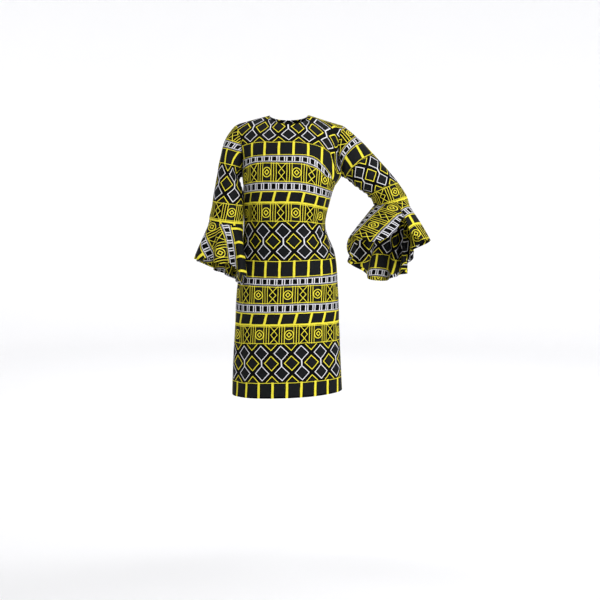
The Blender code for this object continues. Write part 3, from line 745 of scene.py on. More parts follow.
def soft_creases(u, z, panel):
    """The height of the lesser creases: a soft trough along each line, with a lower ridge
    on its upper side, both dying out towards its ends."""
    height = np.zeros(u.shape)
    for crease in CREASE_LINES:
        if crease.panel != panel:
            continue
        start = np.array(crease.start, float)
        line = np.array(crease.end, float) - start
        length = np.linalg.norm(line)
        way = line / length
        du, dz = u - start[0], z - start[1]
        along = (du * way[0] + dz * way[1]) / length
        off = (du * -way[1] + dz * way[0]) - crease.bend * 4 * along * (1 - along)
        fade = smooth_step((along + CREASE_EARLY) / CREASE_FADE)
        fade = fade * smooth_step((1 + CREASE_EARLY - along) / CREASE_FADE)
        trough = np.exp(-((off / crease.width) ** 2))
        ridge = np.exp(-(((off - RIDGE_AWAY * crease.width) / crease.width) ** 2))
        height += crease.depth * fade * (RIDGE_SHARE * ridge - trough)
    return height


def cloth_waves(grid):
    """Slight unevenness of worn cotton, in a few slow waves that never repeat together."""
    x, y, z = np.moveaxis(grid, -1, 0)
    slow_height, a, b, c, d = SLOW_WAVES
    slow = np.sin(x / a + 0.9 * np.sin(z / b)) * np.sin(z / c + y / d + 1.3)
    quick_height, a, b, c = QUICK_WAVES
    quick = np.sin((x + 0.6 * z) / a + 1.1 * np.sin(z / b)) * np.sin((z - y) / c + 0.4)
    return slow_height * slow + quick_height * quick


def droop(grid, panel, over, above):
    """How much further up the cloth lies at each point than the plain length over the
    hem. over is how far along the panel a point lies from the dart's row, and above says
    which side of the dart's line is meant where the line parts the cloth."""
    x, z = grid[..., 0], grid[..., 2]
    heights = [row.z for row in DROOPS]
    middle = np.interp(z, heights, [row.middle for row in DROOPS])
    square = (np.minimum(np.abs(x), DROOP_END) / DROOP_AT) ** 2
    sides = {}
    for name in DROOPS[0]._fields[2:]:
        pairs = np.array([getattr(row, name) for row in DROOPS], float)
        half, whole = (np.interp(z, heights, numbers) for numbers in pairs.T)
        # slow * s + (whole - slow) * s * s is half where s, the square, is a quarter
        slow = (16 * half - whole) / 3
        sides[name] = slow * square + (whole - slow) * square * square
    under = np.where(x > 0, sides["left"], sides["right"])
    if panel == "back":
        return middle + under * BACK_DROOP
    past = np.where(x > 0, sides["left_over"], sides["right_over"])
    eased = smooth_step((over + DART_FADE) / (2 * DART_FADE))
    parted = dart_opening(x)
    share = eased + (1 - eased) * parted if above else eased * (1 - parted)
    return middle + under + (past - under) * share


def dart_opening(x):
    """0 up to a dart's point, and 1 where the dart is fully open."""
    opening = np.zeros(np.shape(x))
    for dart in DARTS:
        opening += smooth_step((x * dart.side - dart.tip_x) / DART_OPENS)
    return opening


def panel_way(panel):
    """1 where the grid's rows and columns turn so that its normals point out."""
    return 1 if panel == "front" else -1


def grid_normals(grid, way, closed=False):
    """Outward normals of a grid of points, whose columns may close on themselves."""
    up = np.gradient(grid, axis=0)
    if closed:
        along = (np.roll(grid, -1, axis=1) - np.roll(grid, 1, axis=1)) / 2
    else:
        along = np.gradient(grid, axis=1)
    return unit(np.cross(along, up)) * way


def outward_of_tube(grid):
    """Normals of a tube of rings, pointing away from each ring's middle."""
    normals = grid_normals(grid, 1, closed=True)
    away = grid - grid.mean(axis=1, keepdims=True)
    return normals * np.sign(np.sum(normals * away))


def armhole(front, back, column):
    """The armhole's points, from the underarm up the front edge and down the back one."""
    rise = front[SKIRT_ROWS:, column]
    fall = back[SKIRT_ROWS + 1 : -1, column][::-1]
    return np.concatenate([rise, fall])


def ring_points(ring, count):
    """A sleeve section's points, in the armhole's order."""
    inner = np.array([ring.inner[0], ring.y, ring.inner[1]], float)
    outer = np.array([ring.outer[0], ring.y, ring.outer[1]], float)
    angle = 2 * math.pi * np.arange(count) / count
    middle = (inner + outer) / 2
    reach = (inner - outer) / 2
    deep = np.array([0, -ring.deep, 0], float)
    return middle + np.cos(angle)[:, None] * reach + np.sin(angle)[:, None] * deep


def sleeve_sheet(start, arm):
    """A sleeve's points, ring by ring from the armhole to the flounce, and their places
    in the flat cloth, which is printed upside down and square to the sleeve."""
    count = len(start)
    keys = np.array([start] + [ring_points(ring, count) for ring in arm.rings])
    knots = row_knots(keys)
    along = np.linspace(0, 1, SLEEVE_ROWS + 1)
    grid = through(knots, keys, along * knots[-1])
    cut = sleeve_cut(grid, arm.flat)
    normals = outward_of_tube(grid)
    turns = np.arange(count) / count
    height = np.zeros(grid.shape[:2])
    for crease in arm.creases:
        away = from_turn(turns, crease.turn)
        round_it = np.exp(-((away / crease.spread) ** 2))
        down_it = np.exp(-(((along - crease.along) / crease.width) ** 2))
        height -= crease.depth * down_it[:, None] * round_it
    for crease in arm.fine:
        away = from_turn(turns, crease.turn)
        centre = crease.along + crease.slant * away
        down_it = (along[:, None] - centre) / crease.width
        ridge = np.exp(-((down_it + RIDGE_AWAY) ** 2))
        fade = np.exp(-((away / crease.spread) ** 4))
        height += crease.depth * fade * (RIDGE_SHARE * ridge - np.exp(-(down_it**2)))
    height += cloth_waves(grid)
    calm = smooth_step(along / CALM_END) * smooth_step((1 - along) / CALM_END)
    return grid + normals * (height * calm[:, None])[..., None], cut


def sleeve_cut(grid, flat):
    """Places in the flat cloth, with one column more than the grid, where it closes."""
    looped = np.concatenate([grid, grid[:, :1]], axis=1)
    round_it = distances_across(looped)
    outer = grid.shape[1] // 2
    u = round_it[:, outer : outer + 1] - round_it
    to_end = distances(looped[::-1])[::-1]
    v = flat.end_v - to_end
    turned = 2 * math.pi * np.linspace(0, 1, looped.shape[1])
    beside = (0.5 + 0.5 * np.cos(turned)) ** DROP_POWER
    v -= np.linspace(flat.drop_top, flat.drop_end, len(grid))[:, None] * beside
    v -= flat.ease * (1 - smooth_step(np.linspace(0, 1 / EASE_REACH, len(grid))))[:, None]
    heights, scales, shifts = zip(*flat.weft)
    u = u * np.interp(v, heights, scales) + np.interp(v, heights, shifts) + flat.lean * to_end
    return np.stack([u, v], axis=2)


def flounce_sheet(seam, waves, split, flat):
    """A flounce's points, from its seam to its hem, and their places in the flat cloth.
    The hem is one smooth closed line through the waves, and each column runs to it in a
    shallow bow. The cut is two half rings, joined beside the body and outside."""
    keys = np.array([wave[:3] for wave in waves], float)
    bows = np.array([wave.bow for wave in waves], float)
    count = len(seam) * split
    looped = np.concatenate([keys[-2:], keys, keys[:3]])
    knots = distances(looped)
    first, last = knots[2], knots[2 + len(keys)]
    at = first + (last - first) * np.arange(count) / count
    hem = through(knots, looped, at)
    bow = through(knots, np.concatenate([bows[-2:], bows, bows[:3]]), at)
    top = finer_ring(seam, split)
    away = hem - hem.mean(axis=0)
    away[:, 2] = 0
    rows = []
    for row in range(FLOUNCE_ROWS + 1):
        down = row / FLOUNCE_ROWS
        bulge = 4 * down * (1 - down) * bow[:, None] * unit(away)
        rows.append(top + (hem - top) * down + bulge)
    grid = np.array(rows)
    looped = np.concatenate([grid, grid[:, :1]], axis=1)
    radius = flat[0].radius + distances(looped)
    hem_way = distances(looped[-1])
    share = hem_way / hem_way[-1]
    cuts = []
    for half in flat:
        angle = np.radians(half.angle + half.spread * share)
        u = half.centre[0] + radius * np.cos(angle)
        v = half.centre[1] + radius * np.sin(angle)
        cuts.append(np.stack([u, v], axis=2))
    return grid, cuts


def mitre(first, second):
    """The offset that two sheets share at their seam, along the middle of their normals."""
    middle = unit(first + second)
    lean = np.sum(middle * first, axis=-1, keepdims=True)
    return middle / np.maximum(lean, 1 / LONGEST_MITRE)


def tuck(grid, inward, edge):
    """Dips one edge of a sheet in, so that two sheets meet in a soft groove at a seam."""
    for line, share in enumerate(TUCK_SHARES):
        place = {
            "bottom": (line, slice(None)),
            "top": (-1 - line, slice(None)),
            "first": (slice(None), line),
            "last": (slice(None), -1 - line),
        }[edge]
        grid[place] += inward[place] * SEAM_TUCK * share


def turn_in(grid, inward, cut, width):
    """Adds a hem at the first row: the cloth rolls under and lies behind its own face."""
    mean = distances(grid).mean(axis=1)
    rows = max(2, int(np.searchsorted(mean, width)))
    down = unit(grid[0] - grid[1])
    half = HEM_LAYER / 2
    layer = (grid[1 : rows + 1] + inward[1 : rows + 1] * HEM_LAYER)[::-1]
    roll = [
        grid[0] + inward[0] * half * (1 - math.cos(a)) + down * half * math.sin(a)
        for a in np.radians(ROLL_ANGLES)
    ]
    turned = 2 * cut[:1] - cut[1 : rows + 1][::-1]
    cuts = np.concatenate([turned, np.repeat(cut[:1], len(roll), axis=0), cut])
    return np.concatenate([layer, np.array(roll), grid]), cuts


def corners(values):
    """The values at each quad's four corners, from the values at the grid's points."""
    low, high = values[:-1], values[1:]
    return np.stack([low[:, :-1], low[:, 1:], high[:, 1:], high[:, :-1]], axis=2)


def add_object(name, mesh):
    """A mesh's object in the scene, active and the only one selected."""
    made = bpy.data.objects.new(name, mesh)
    bpy.context.scene.collection.objects.link(made)
    bpy.ops.object.select_all(action="DESELECT")
    made.select_set(True)
    bpy.context.view_layer.objects.active = made
    return made


def sheet_mesh(name, grid, cut_corners, closed, flip, finish):
    """A sheet of cloth as one closed thin shell. The grid is its outer face, and the cut
    coordinates, in metres, are its UV map."""
    rows, columns = grid.shape[:2]
    across = columns if closed else columns - 1
    row, column = np.meshgrid(np.arange(rows - 1), np.arange(across), indexing="ij")
    beside = (column + 1) % columns
    low, high = row * columns, (row + 1) * columns
    quads = [low + column, low + beside, high + beside, high + column]
    quads = np.stack(quads, axis=2).reshape(-1, 4)
    places = (cut_corners * MM).reshape(-1, 4, 2)
    if flip:
        quads, places = quads[:, ::-1], places[:, ::-1]
    mesh = bpy.data.meshes.new(name)
    mesh.from_pydata((grid.reshape(-1, 3) * MM).tolist(), [], quads.tolist())
    layer = mesh.uv_layers.new(name="cut")
    layer.data.foreach_set("uv", places.reshape(-1).astype(np.float32))
    mesh.materials.append(finish)
    mesh.update()
    sheet = add_object(name, mesh)
    thicken = sheet.modifiers.new("cloth", "SOLIDIFY")
    thicken.thickness = CLOTH * MM
    thicken.offset = -1
    bpy.ops.object.modifier_apply(modifier=thicken.name)
    bpy.ops.object.shade_smooth_by_angle(angle=math.radians(SMOOTH_UNDER))
    return sheet


def flip_needed(grid, outward, closed):
    """True where the grid's own winding points against the outward normals."""
    return float(np.sum(grid_normals(grid, 1, closed) * outward)) < 0


def sew_body():
    """The front and the back before their edges are finished: for each its points, its
    places in the flat cloth, its normals and its dart row."""
    turns = panel_turns()
    sides = {}
    for panel in ("front", "back"):
        grid, cuts, dart_row = panel_sheet(turns, panel)
        sides[panel] = [grid, cuts, grid_normals(grid, panel_way(panel)), dart_row]
    front, back = sides["front"], sides["back"]
    shared = mitre(front[2], back[2])
    seam = np.zeros(front[0].shape[:2], bool)
    seam[: SKIRT_ROWS + 1, [0, -1]] = True
    seam[-1, np.abs(turns) > NECK_SHARE - TINY] = True
    for side in (front, back):
        side[2] = np.where(seam[..., None], shared, side[2])
    return front, back


def finish_panel(name, side, columns, panel, finish):
    """One body panel: seams dipped in, the neck and hem turned in, and the bust darts."""
    grid, cuts, outward, dart_row = side
    grid, inward = grid[:, columns].copy(), -outward[:, columns]
    if panel == "front":
        dip = DART_GROOVE * dart_opening(grid[dart_row, :, 0])
        for away, share in DART_ROWS:
            grid[dart_row + away] += inward[dart_row + away] * (dip * share)[:, None]
    for edge in ("first", "last"):
        tuck(grid, inward, edge)
    places = []
    for cut in cuts:
        full, cut = turn_in(grid, inward, cut[:, columns], BODY_HEM)
        added = len(full) - len(grid)
        ways = np.concatenate([inward[:1].repeat(added, axis=0), inward])
        full, cut = turn_in(full[::-1], ways[::-1], cut[::-1], NECK_HEM)
        places.append(corners(cut[::-1]))
    full = full[::-1]
    over_dart = np.arange(len(full) - 1) >= added + dart_row
    places = np.where(over_dart[:, None, None, None], places[1], places[0])
    return sheet_mesh(name, full, places, False, panel == "back", finish)


def sew_sleeve(arm, body, finish):
    """One sleeve and its flounce. The body takes its share of the armhole's mitre."""
    front, back = body
    column = arm.column
    start = armhole(front[0], back[0], column)
    grid, cut = sleeve_sheet(start, arm)
    flounce, cuts = flounce_sheet(grid[-1], arm.waves, FLOUNCE_SPLIT, arm.halves)
    out_sleeve = outward_of_tube(grid)
    out_flounce = outward_of_tube(flounce)
    joined = mitre(armhole(front[2], back[2], column), out_sleeve[0])
    out_sleeve[0] = joined
    rise = len(front[0]) - SKIRT_ROWS
    front[2][SKIRT_ROWS:, column] = joined[:rise]
    back[2][SKIRT_ROWS + 1 : -1, column] = joined[rise:][::-1]
    back[2][SKIRT_ROWS, column] = joined[0]
    back[2][-1, column] = joined[rise - 1]
    cuff = mitre(out_sleeve[-1], out_flounce[0, ::FLOUNCE_SPLIT])
    out_sleeve[-1] = cuff
    out_flounce[0] = finer_ring(cuff, FLOUNCE_SPLIT)

    flip = flip_needed(grid, out_sleeve, True)
    tuck(grid, -out_sleeve, "bottom")
    tuck(grid, -out_sleeve, "top")
    sleeve = sheet_mesh("sleeve_" + arm.name + "_cloth", grid, corners(cut), True, flip, finish)

    flip = flip_needed(flounce, out_flounce, True)
    tuck(flounce, -out_flounce, "bottom")
    halves = []
    for cut in cuts:
        full, cut = turn_in(flounce[::-1], -out_flounce[::-1], cut[::-1], FLOUNCE_HEM)
        halves.append(corners(cut[::-1]))
    in_front = np.arange(flounce.shape[1]) < flounce.shape[1] // 2
    places = np.where(in_front[None, :, None, None], *halves)
    name = "flounce_" + arm.name + "_cloth"
    ruffle = sheet_mesh(name, full[::-1], places, True, flip, finish)
    return sleeve, ruffle


class Number:
    """A number that changes over the cloth: one socket of a node tree, with arithmetic."""

    def __init__(self, tree, socket):
        self.tree = tree
        self.socket = socket

    def math(self, operation, *others):
        node = self.tree.nodes.new("ShaderNodeMath")
        node.operation = operation
        for place, value in zip(node.inputs, (self, *others)):
            if isinstance(value, Number):
                self.tree.links.new(value.socket, place)
            else:
                place.default_value = value
        return Number(self.tree, node.outputs[0])

    def __add__(self, other):
        return self.math("ADD", other)

    def __sub__(self, other):
        return self.math("SUBTRACT", other)

    def __mul__(self, other):
        return self.math("MULTIPLY", other)

    def __lt__(self, other):
        return self.math("LESS_THAN", other)

    def __gt__(self, other):
        return self.math("GREATER_THAN", other)

    def size(self):
        return self.math("ABSOLUTE")

    def most(self, other):
        return self.math("MAXIMUM", other)

    def least(self, other):
        return self.math("MINIMUM", other)

    def from_nearest(self, pitch, start=0):
        """Distance to the nearest of the lines that repeat at a pitch."""
        return (self - start).math("PINGPONG", pitch / 2)

    def repeated(self, length):
        return self.math("FLOORED_MODULO", length)


def new_group(name, inputs, outputs):
    """A node group with its sockets, each given as (name, kind, value)."""
    group = bpy.data.node_groups.new(name, "ShaderNodeTree")
    for way, sockets in (("INPUT", inputs), ("OUTPUT", outputs)):
        for label, kind, value in sockets:
            kind = "NodeSocket" + kind
            socket = group.interface.new_socket(label, in_out=way, socket_type=kind)
            if value is not None:
                socket.default_value = value
    return group, group.nodes.new("NodeGroupInput"), group.nodes.new("NodeGroupOutput")


def parts(tree, socket, kind):
    """The numbers in a vector or a colour."""
    split = tree.nodes.new("ShaderNodeSeparate" + kind)
    tree.links.new(socket, split.inputs[0])
    return [Number(tree, output) for output in split.outputs]


def noise(tree, place, spots):
    """A noise texture at a place, whose spots are a Noise."""
    texture = tree.nodes.new("ShaderNodeTexNoise")
    texture.inputs["Scale"].default_value = spots.scale
    texture.inputs["Detail"].default_value = spots.detail
    tree.links.new(place, texture.inputs["Vector"])
    return texture


def noise_share(tree, place, spots):
    """The noise at a place as one number, mostly near a half."""
    return Number(tree, noise(tree, place, spots).outputs["Fac"])


def squares(u, w):
    """Charcoal blocks between yellow bars, with a yellow line along each edge. Gives the
    yellow and the charcoal, as slants and circles do."""
    from_bar = u.from_nearest(BAR_PITCH)
    from_edge = w.least(w * -1 + SQUARES_HEIGHT)
    yellow = (from_bar < BAR_HALF).most((from_edge - EDGE_IN).size() < EDGE_HALF)
    charcoal = (from_bar > BAR_HALF + OUTLINE) * (from_edge > EDGE_IN + EDGE_HALF + OUTLINE)
    return yellow, charcoal


def beads(u, w, height):
    """A strip of cells that hold black blocks, with a narrow bar between two of them, and
    a pale line outside it. Gives the white, and the pale line."""
    from_block = u.from_nearest(BEAD_PITCH)
    from_edge = ((w - height * 0.5).size() - height * 0.5) * -1
    inside = from_edge > BEAD_INSIDE
    black = (from_block < BEAD_HALF).most(from_block > BEAD_PITCH / 2 - BEAD_BAR_HALF) * inside
    strip = (from_edge > BEAD_STRIP) * (black * -1 + 1)
    return strip, (from_edge - BEAD_LINE).size() < BEAD_LINE_HALF


def slants(u, w):
    """Blocks between yellow bars that lean to the right as they rise."""
    from_bar = (u - w * SLANT_LEAN).from_nearest(BAR_PITCH)
    height = SLANTS_HEIGHT
    lines = (w < SLANT_FOOT).most(w > height - EDGE_IN - EDGE_HALF)
    yellow = (from_bar < BAR_HALF).most(lines)
    clear = (w > SLANT_FOOT + OUTLINE) * (w < height - EDGE_IN - EDGE_HALF - OUTLINE)
    return yellow, (from_bar > BAR_HALF + OUTLINE) * clear


def circles(u, w, height):
    """Ringed circles and crosses by turns, with three upright lines between them."""
    a = u.from_nearest(CIRCLE_PITCH)
    b = (w - height * 0.5).size()
    first, last = CIRCLE_LINES
    line = (a - first).from_nearest(CIRCLE_LINE_PITCH) < CIRCLE_LINE_HALF
    yellow = line * (a > first - CIRCLE_LINE_HALF) * (a < last)
    far = (a * a + b * b).math("SQRT")
    for reach, (inner, outer) in ((far, RING), (a + b, KERNEL)):
        yellow = yellow.most((reach > inner) * (reach < outer))
    away = a * -1 + CIRCLE_PITCH / 2
    arm = (b * (-CROSS_WIDE / CROSS_TALL) + CROSS_WIDE).most((b - CROSS_TALL) * CROSS_OPENS)
    cross = ((away - arm).size() < CROSS_HALF) * (a > last)
    edge = (b - height * 0.5 + EDGE_IN).size() < EDGE_HALF
    box = (a < first - OUTLINE) * (b > RING[1]) * (b < BLOCK_END)
    return yellow.most(cross).most(edge), box


def lozenges(u, w):
    """White and yellow outlined lozenges set like tiles, with half ones at the edges.
    Gives the yellow, the white and the charcoal inside them."""
    a = (u - (w - LOZENGES_HEIGHT / 2) * LOZENGE_LEAN).from_nearest(LOZENGE_PITCH)
    away = a * -1 + LOZENGE_PITCH / 2
    b = (w - LOZENGES_HEIGHT / 2).size()
    white = a + (b - LOZENGE_RISE).size()
    middle = away + b
    edge = away + (b - LOZENGE_EDGE).size()
    link = (a < LINK_HALF) * (b < LINK_RISE)
    chalk = ((white - LOZENGE_REACH).size() < LOZENGE_HALF).most(link)
    lemon = (middle.least(edge) - LOZENGE_REACH).size() < LOZENGE_HALF
    return lemon, chalk, white.least(middle).least(edge) < LOZENGE_FILL


def print_group():
    """The banded print. It takes places in the flat cloth, in metres, and gives the
    colour and a mask of where the paste lies on the black ground."""
    group, take, give = new_group(
        "ankara_bands",
        [("Cut", "Vector", None), ("Wobble", "Float", HAND_REACH)],
        [("Colour", "Color", None), ("Paste", "Float", None)],
    )
    cut = take.outputs["Cut"]
    hand = noise(group, cut, HAND).outputs["Color"]
    wobble = Number(group, take.outputs["Wobble"])
    u, v = (
        place * (1 / MM) + (drift - 0.5) * wobble
        for place, drift in zip(parts(group, cut, "XYZ")[:2], parts(group, hand, "Color"))
    )
    t = v.most(FIRST_ROW).repeated(sum(band.height for band in BANDS))

    foot = 0
    over, within, tall = {}, {}, {}
    slip, scale = [], []
    for kind, height, start, pitch in BANDS:
        w = t - foot
        here = (w > 0) * (w < height)
        for values, value in ((over, w * here), (within, here), (tall, here * height)):
            values[kind] = values[kind] + value if kind in values else value
        slip.append(here * start)
        scale.append(here * (PITCHES[kind] / pitch))
        foot += height
    slip, scale = total(slip), total(scale)
    u = (u - slip) * scale

    lemon, grey = squares(u, over["squares"])
    lemon, grey = lemon * within["squares"], grey * within["squares"]
    for made, kind in (
        (slants(u, over["slants"]), "slants"),
        (circles(u, over["circles"], tall["circles"]), "circles"),
    ):
        lemon = lemon.most(made[0] * within[kind])
        grey = grey.most(made[1] * within[kind])
    strip, pale = beads(u, over["beads"], tall["beads"])
    chalk = strip * within["beads"]
    yellow, white, fill = lozenges(u, over["lozenges"])
    lemon = lemon.most(yellow * within["lozenges"])
    chalk = chalk.most(white * within["lozenges"])
    grey = grey.most(fill * within["lozenges"])

    patchy = noise_share(group, cut, PATCHES) * PATCHES_SPREAD + PATCHES_LEAST
    patchy = patchy.least(1)
    colour = mixed(group, grey * patchy, INK, CHARCOAL)
    colour = mixed(group, pale * within["beads"], colour, PALE)
    colour = mixed(group, chalk * patchy, colour, CHALK)
    colour = mixed(group, lemon * patchy, colour, LEMON)
    group.links.new(colour, give.inputs["Colour"])
    group.links.new(lemon.most(chalk).socket, give.inputs["Paste"])
    return group


def total(numbers):
    """The sum of a list of Numbers."""
    first, *others = numbers
    for number in others:
        first = first + number
    return first


def mixed(tree, share, first, second):
    """A colour mix; either colour may be a socket or a plain colour."""
    node = tree.nodes.new("ShaderNodeMix")
    node.data_type = "RGBA"
    tree.links.new(share.socket, node.inputs["Factor"])
    for label, colour in (("A", first), ("B", second)):
        place = [s for s in node.inputs if s.name == label and s.type == "RGBA"][0]
        if isinstance(colour, tuple):
            place.default_value = colour
        else:
            tree.links.new(colour, place)
    return [s for s in node.outputs if s.type == "RGBA"][0]


def weave_group():
    """Plain weave: crossing threads with slubs. Gives its height and the slubs alone."""
    group, take, give = new_group(
        "plain_weave",
        [("Cut", "Vector", None), ("Pitch", "Float", THREAD_PITCH)],
        [("Height", "Float", None), ("Slub", "Float", None)],
    )
    cut = take.outputs["Cut"]
    pitch = Number(group, take.outputs["Pitch"])
    turn = (pitch * MM).math("POWER", -1) * (2 * math.pi)
    warp, weft = ((place * turn).math("SINE") for place in parts(group, cut, "XYZ")[:2])
    uneven = noise_share(group, cut, SLUBS)
    height = warp * weft * THREADS_ADD + uneven * SLUBS_ADD + WEAVE_GROUND
    group.links.new(height.socket, give.inputs["Height"])
    group.links.new(uneven.socket, give.inputs["Slub"])
    return group


def place_group(tree, group, cut):
    """A node group in a material's tree, at the places in the flat cloth."""
    node = tree.nodes.new("ShaderNodeGroup")
    node.node_tree = group
    tree.links.new(cut, node.inputs["Cut"])
    return node


def new_material(name):
    """A material, its node tree and its shader."""
    finish = bpy.data.materials.new(name)
    finish.use_nodes = True
    return finish, finish.node_tree, finish.node_tree.nodes["Principled BSDF"]


def cloth_material(name, print_on, weave, bump):
    """Woven cloth on the sheet's own cut coordinates, printed or plain black."""
    finish, tree, shader = new_material(name)
    cut = tree.nodes.new("ShaderNodeUVMap")
    cut.uv_map = "cut"
    threads = place_group(tree, weave, cut.outputs[0])
    slub = Number(tree, threads.outputs["Slub"])
    if print_on:
        printed = place_group(tree, print_on, cut.outputs[0])
        tree.links.new(printed.outputs["Colour"], shader.inputs["Base Color"])
        paste = Number(tree, printed.outputs["Paste"])
        roughness = slub * COTTON_SLUBS_ROUGH + paste * PASTE_ROUGH + COTTON_ROUGH
    else:
        tree.links.new(mixed(tree, slub, TAPE_BLACK, CHARCOAL), shader.inputs["Base Color"])
        roughness = slub * TAPE_SLUBS_ROUGH + TAPE_ROUGH
    tree.links.new(roughness.socket, shader.inputs["Roughness"])
    for label, value in CLOTH_LOOK.items():
        shader.inputs[label].default_value = value
    lift = tree.nodes.new("ShaderNodeBump")
    lift.inputs["Strength"].default_value = bump
    lift.inputs["Distance"].default_value = BUMP_HEIGHT
    tree.links.new(threads.outputs["Height"], lift.inputs["Height"])
    tree.links.new(lift.outputs[0], shader.inputs["Normal"])
    return finish


def enamel_material():
    """Black enamel on the zip's metal, rubbed a little in small spots."""
    finish, tree, shader = new_material("zip_enamel_look")
    place = tree.nodes.new("ShaderNodeTexCoord")
    worn = noise_share(tree, place.outputs["Object"], RUBS)
    tree.links.new(mixed(tree, worn, ENAMEL_BLACK, CHARCOAL), shader.inputs["Base Color"])
    roughness = worn * ENAMEL_RUBS_ROUGH + ENAMEL_ROUGH
    tree.links.new(roughness.socket, shader.inputs["Roughness"])
    return finish


def floor_material():
    """The backdrop's pale paper."""
    finish, tree, shader = new_material("studio_paper")
    place = tree.nodes.new("ShaderNodeTexCoord")
    share = noise_share(tree, place.outputs["Object"], PAPER_GRAIN) * PAPER_SPREAD
    tree.links.new(mixed(tree, share, FLOOR_PALE, CHALK), shader.inputs["Base Color"])
    shader.inputs["Roughness"].default_value = PAPER_ROUGH
    return finish


def tape_sheet(back, middle, finish):
    """The zip's woven tape behind the centre back seam, on the form of the back. Gives
    also its middle line and the normals there."""
    grid, outward = back[0][::-1], back[2][::-1]
    seam = grid[:, middle]
    along = distances(seam)
    half = [COIL_HALF, TAPE_BEND, TAPE_WIDTH / 2]
    places = np.array([-place for place in half[::-1]] + [0] + half)
    lines, outs = [], []
    for place in places:
        beside = middle + (1 if place > 0 else -1) * np.arange(TAPE_COLUMNS)
        reach = np.abs(grid[:, beside, 0] - seam[:, :1])
        line, out = (
            np.array([point_at(abs(place), *row) for row in zip(reach, rows[:, beside])])
            for rows in (grid, outward)
        )
        lines.append(line - unit(out) * TAPE_BEHIND)
        outs.append(unit(out))
    lines, outs = np.stack(lines, axis=1), np.stack(outs, axis=1)
    keep = (along > TAPE_DROP) & (along < ZIP_LENGTH)
    lines, outs, along = lines[keep], outs[keep], along[keep]
    cut = np.stack(np.broadcast_arrays(places[None], -along[:, None]), axis=2)
    flip = flip_needed(lines, outs, False)
    tape = sheet_mesh("zip_tape_woven", lines, corners(cut), False, flip, finish)
    return tape, lines[:, len(half)], outs[:, len(half)]


def coil(line, outs, finish):
    """The zip's closed coil, a row of small loops along the tape, on the inside."""
    along = distances(line)
    count = int((along[-1] - 2 * COIL_END) / COIL_PITCH)
    points, faces = [], []
    for number in range(count):
        at = COIL_END + number * COIL_PITCH
        centre = point_at(at, along, line)
        out = unit(point_at(at, along, outs))
        down = unit(point_at(at + 1, along, line) - centre)
        across = np.cross(down, out)
        way = 1 if number % 2 else -1
        base = len(points)
        for step in range(COIL_STEPS + 1):
            share = step / COIL_STEPS
            x = (-COIL_HALF + 2 * COIL_HALF * share) * way
            depth = COIL_WIRE + COIL_RISE * math.sin(math.pi * share) + CLOTH
            spot = centre + across * x - out * depth
            for side in range(COIL_SIDES):
                angle = 2 * math.pi * side / COIL_SIDES
                round_it = down * math.cos(angle) - out * math.sin(angle)
                points.append(spot + round_it * COIL_WIRE)
        for step in range(COIL_STEPS):
            for side in range(COIL_SIDES):
                a = base + step * COIL_SIDES + side
                b = base + step * COIL_SIDES + (side + 1) % COIL_SIDES
                faces.append([a, b, b + COIL_SIDES, a + COIL_SIDES])
        end = base + COIL_STEPS * COIL_SIDES
        faces.append(list(range(base, base + COIL_SIDES))[::-1])
        faces.append(list(range(end, end + COIL_SIDES)))
    mesh = bpy.data.meshes.new("zip_coil")
    mesh.from_pydata([tuple(p * MM) for p in points], [], faces)
    mesh.materials.append(finish)
    made = add_object("zip_coil", mesh)
    bpy.ops.object.mode_set(mode="EDIT")
    bpy.ops.mesh.select_all(action="SELECT")
    bpy.ops.mesh.normals_make_consistent(inside=False)
    bpy.ops.object.mode_set(mode="OBJECT")
    bpy.ops.object.shade_smooth_by_angle(angle=math.radians(COIL_SMOOTH_UNDER))
    return made


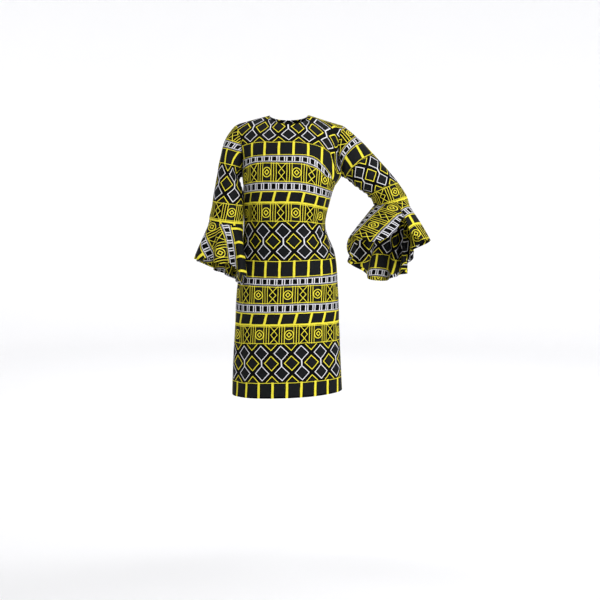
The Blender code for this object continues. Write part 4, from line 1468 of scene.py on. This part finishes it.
def studio():
    """A pale floor that rises into a round backdrop, soft lights, and the camera."""
    bpy.ops.object.select_all(action="DESELECT")
    bpy.ops.mesh.primitive_grid_add(
        x_subdivisions=FLOOR_QUADS,
        y_subdivisions=FLOOR_QUADS,
        size=2 * FLOOR_REACH,
        location=(0, 0, FLOOR_Z),
    )
    floor = bpy.context.active_object
    floor.name = "studio_floor"
    for vertex in floor.data.vertices:
        past = max(0.0, math.hypot(vertex.co.x, vertex.co.y) - FLOOR_FLAT)
        vertex.co.z += FLOOR_RISE * past * past
    floor.data.transform(Matrix.Translation(floor.location))
    floor.location = (0, 0, 0)
    floor.data.materials.append(floor_material())
    bpy.ops.object.shade_smooth()

    for lamp in LAMPS:
        light = bpy.data.lights.new(lamp.name, "AREA")
        light.size = lamp.size
        light.energy = lamp.power
        box = bpy.data.objects.new(lamp.name, light)
        box.location = lamp.place
        way = Vector(lamp.aim) - box.location
        box.rotation_euler = way.to_track_quat("-Z", "Y").to_euler()
        bpy.context.scene.collection.objects.link(box)
    world = bpy.data.worlds.new("studio_air")
    world.use_nodes = True
    sky = world.node_tree.nodes["Background"]
    sky.inputs["Color"].default_value = (1, 1, 1, 1)
    sky.inputs["Strength"].default_value = WORLD_STRENGTH
    bpy.context.scene.world = world
    bpy.context.scene.view_settings.view_transform = "Standard"

    lens = bpy.data.cameras.new("camera")
    lens.sensor_width = SENSOR
    half_view = IMAGE_SIDE / 2 * METRES_PER_PIXEL
    lens.lens = SENSOR / 2 / (half_view / CAMERA_AWAY)
    view = bpy.data.objects.new("camera", lens)
    beside = (IMAGE_SIDE / 2 - MIDDLE_X) * METRES_PER_PIXEL
    target = Vector((beside, 0, (SHOULDER_Y - IMAGE_SIDE / 2) * METRES_PER_PIXEL))
    height = (SHOULDER_Y - EYE_Y) * METRES_PER_PIXEL
    back = math.sqrt(CAMERA_AWAY**2 - (height - target.z) ** 2)
    view.location = (target.x, -back, height)
    view.rotation_euler = (target - view.location).to_track_quat("-Z", "Y").to_euler()
    bpy.context.scene.collection.objects.link(view)
    bpy.context.scene.camera = view


def dress():
    """Sews the dress together, hangs each piece on the dress's body, hides the CAD parts that
    they stand for, and gives the zip's slider and pull the enamel.
    """
    weave = weave_group()
    cotton = cloth_material("wax_print_cotton_look", print_group(), weave, COTTON_BUMP)
    tape_cloth = cloth_material("zip_tape_look", None, weave, TAPE_BUMP)
    enamel = enamel_material()
    body = sew_body()
    front, back = body
    middle = COLUMNS // 2
    right = sew_sleeve(RIGHT_ARM, body, cotton)
    left = sew_sleeve(LEFT_ARM, body, cotton)
    tape, line, outs = tape_sheet(back, middle, tape_cloth)
    front_cloth, right_cloth, left_cloth = (
        finish_panel(name + "_cloth", side, columns, panel, cotton)
        for name, side, columns, panel in (
            ("front_panel", front, slice(None), "front"),
            ("back_panel_right", back, slice(0, middle + 1), "back"),
            ("back_panel_left", back, slice(middle, None), "back"),
        )
    )
    teeth = coil(line, outs, enamel)

    fronts = ["front_panel_cloth"]
    backs = ["back_panel_right_cloth", "back_panel_left_cloth"]
    for piece, node, flat, area, held, rests in (
        (front_cloth, "front_panel", (0.53, 0.93), 0.42, "hung", backs),
        (right_cloth, "back_panel_right", (0.27, 0.93), 0.205, "hung", fronts),
        (left_cloth, "back_panel_left", (0.27, 0.93), 0.205, "hung", fronts),
        (right[0], "sleeve_right", (0.40, 0.33), 0.08, "hung", fronts),
        (left[0], "sleeve_left", (0.40, 0.33), 0.085, "hung", fronts),
        (right[1], "flounce_right", (0.52, 0.36), 0.10, "gathered", ["sleeve_right_cloth"]),
        (left[1], "flounce_left", (0.56, 0.50), 0.155, "gathered", ["sleeve_left_cloth"]),
    ):
        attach(piece, "dress")
        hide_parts(node)
    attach(tape, "dress")
    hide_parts("zip_tape")
    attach(teeth, "dress")
    for node in ("zip_slider", "zip_pull"):
        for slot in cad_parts[node].material_slots:
            slot.material = enamel


dress()
studio()
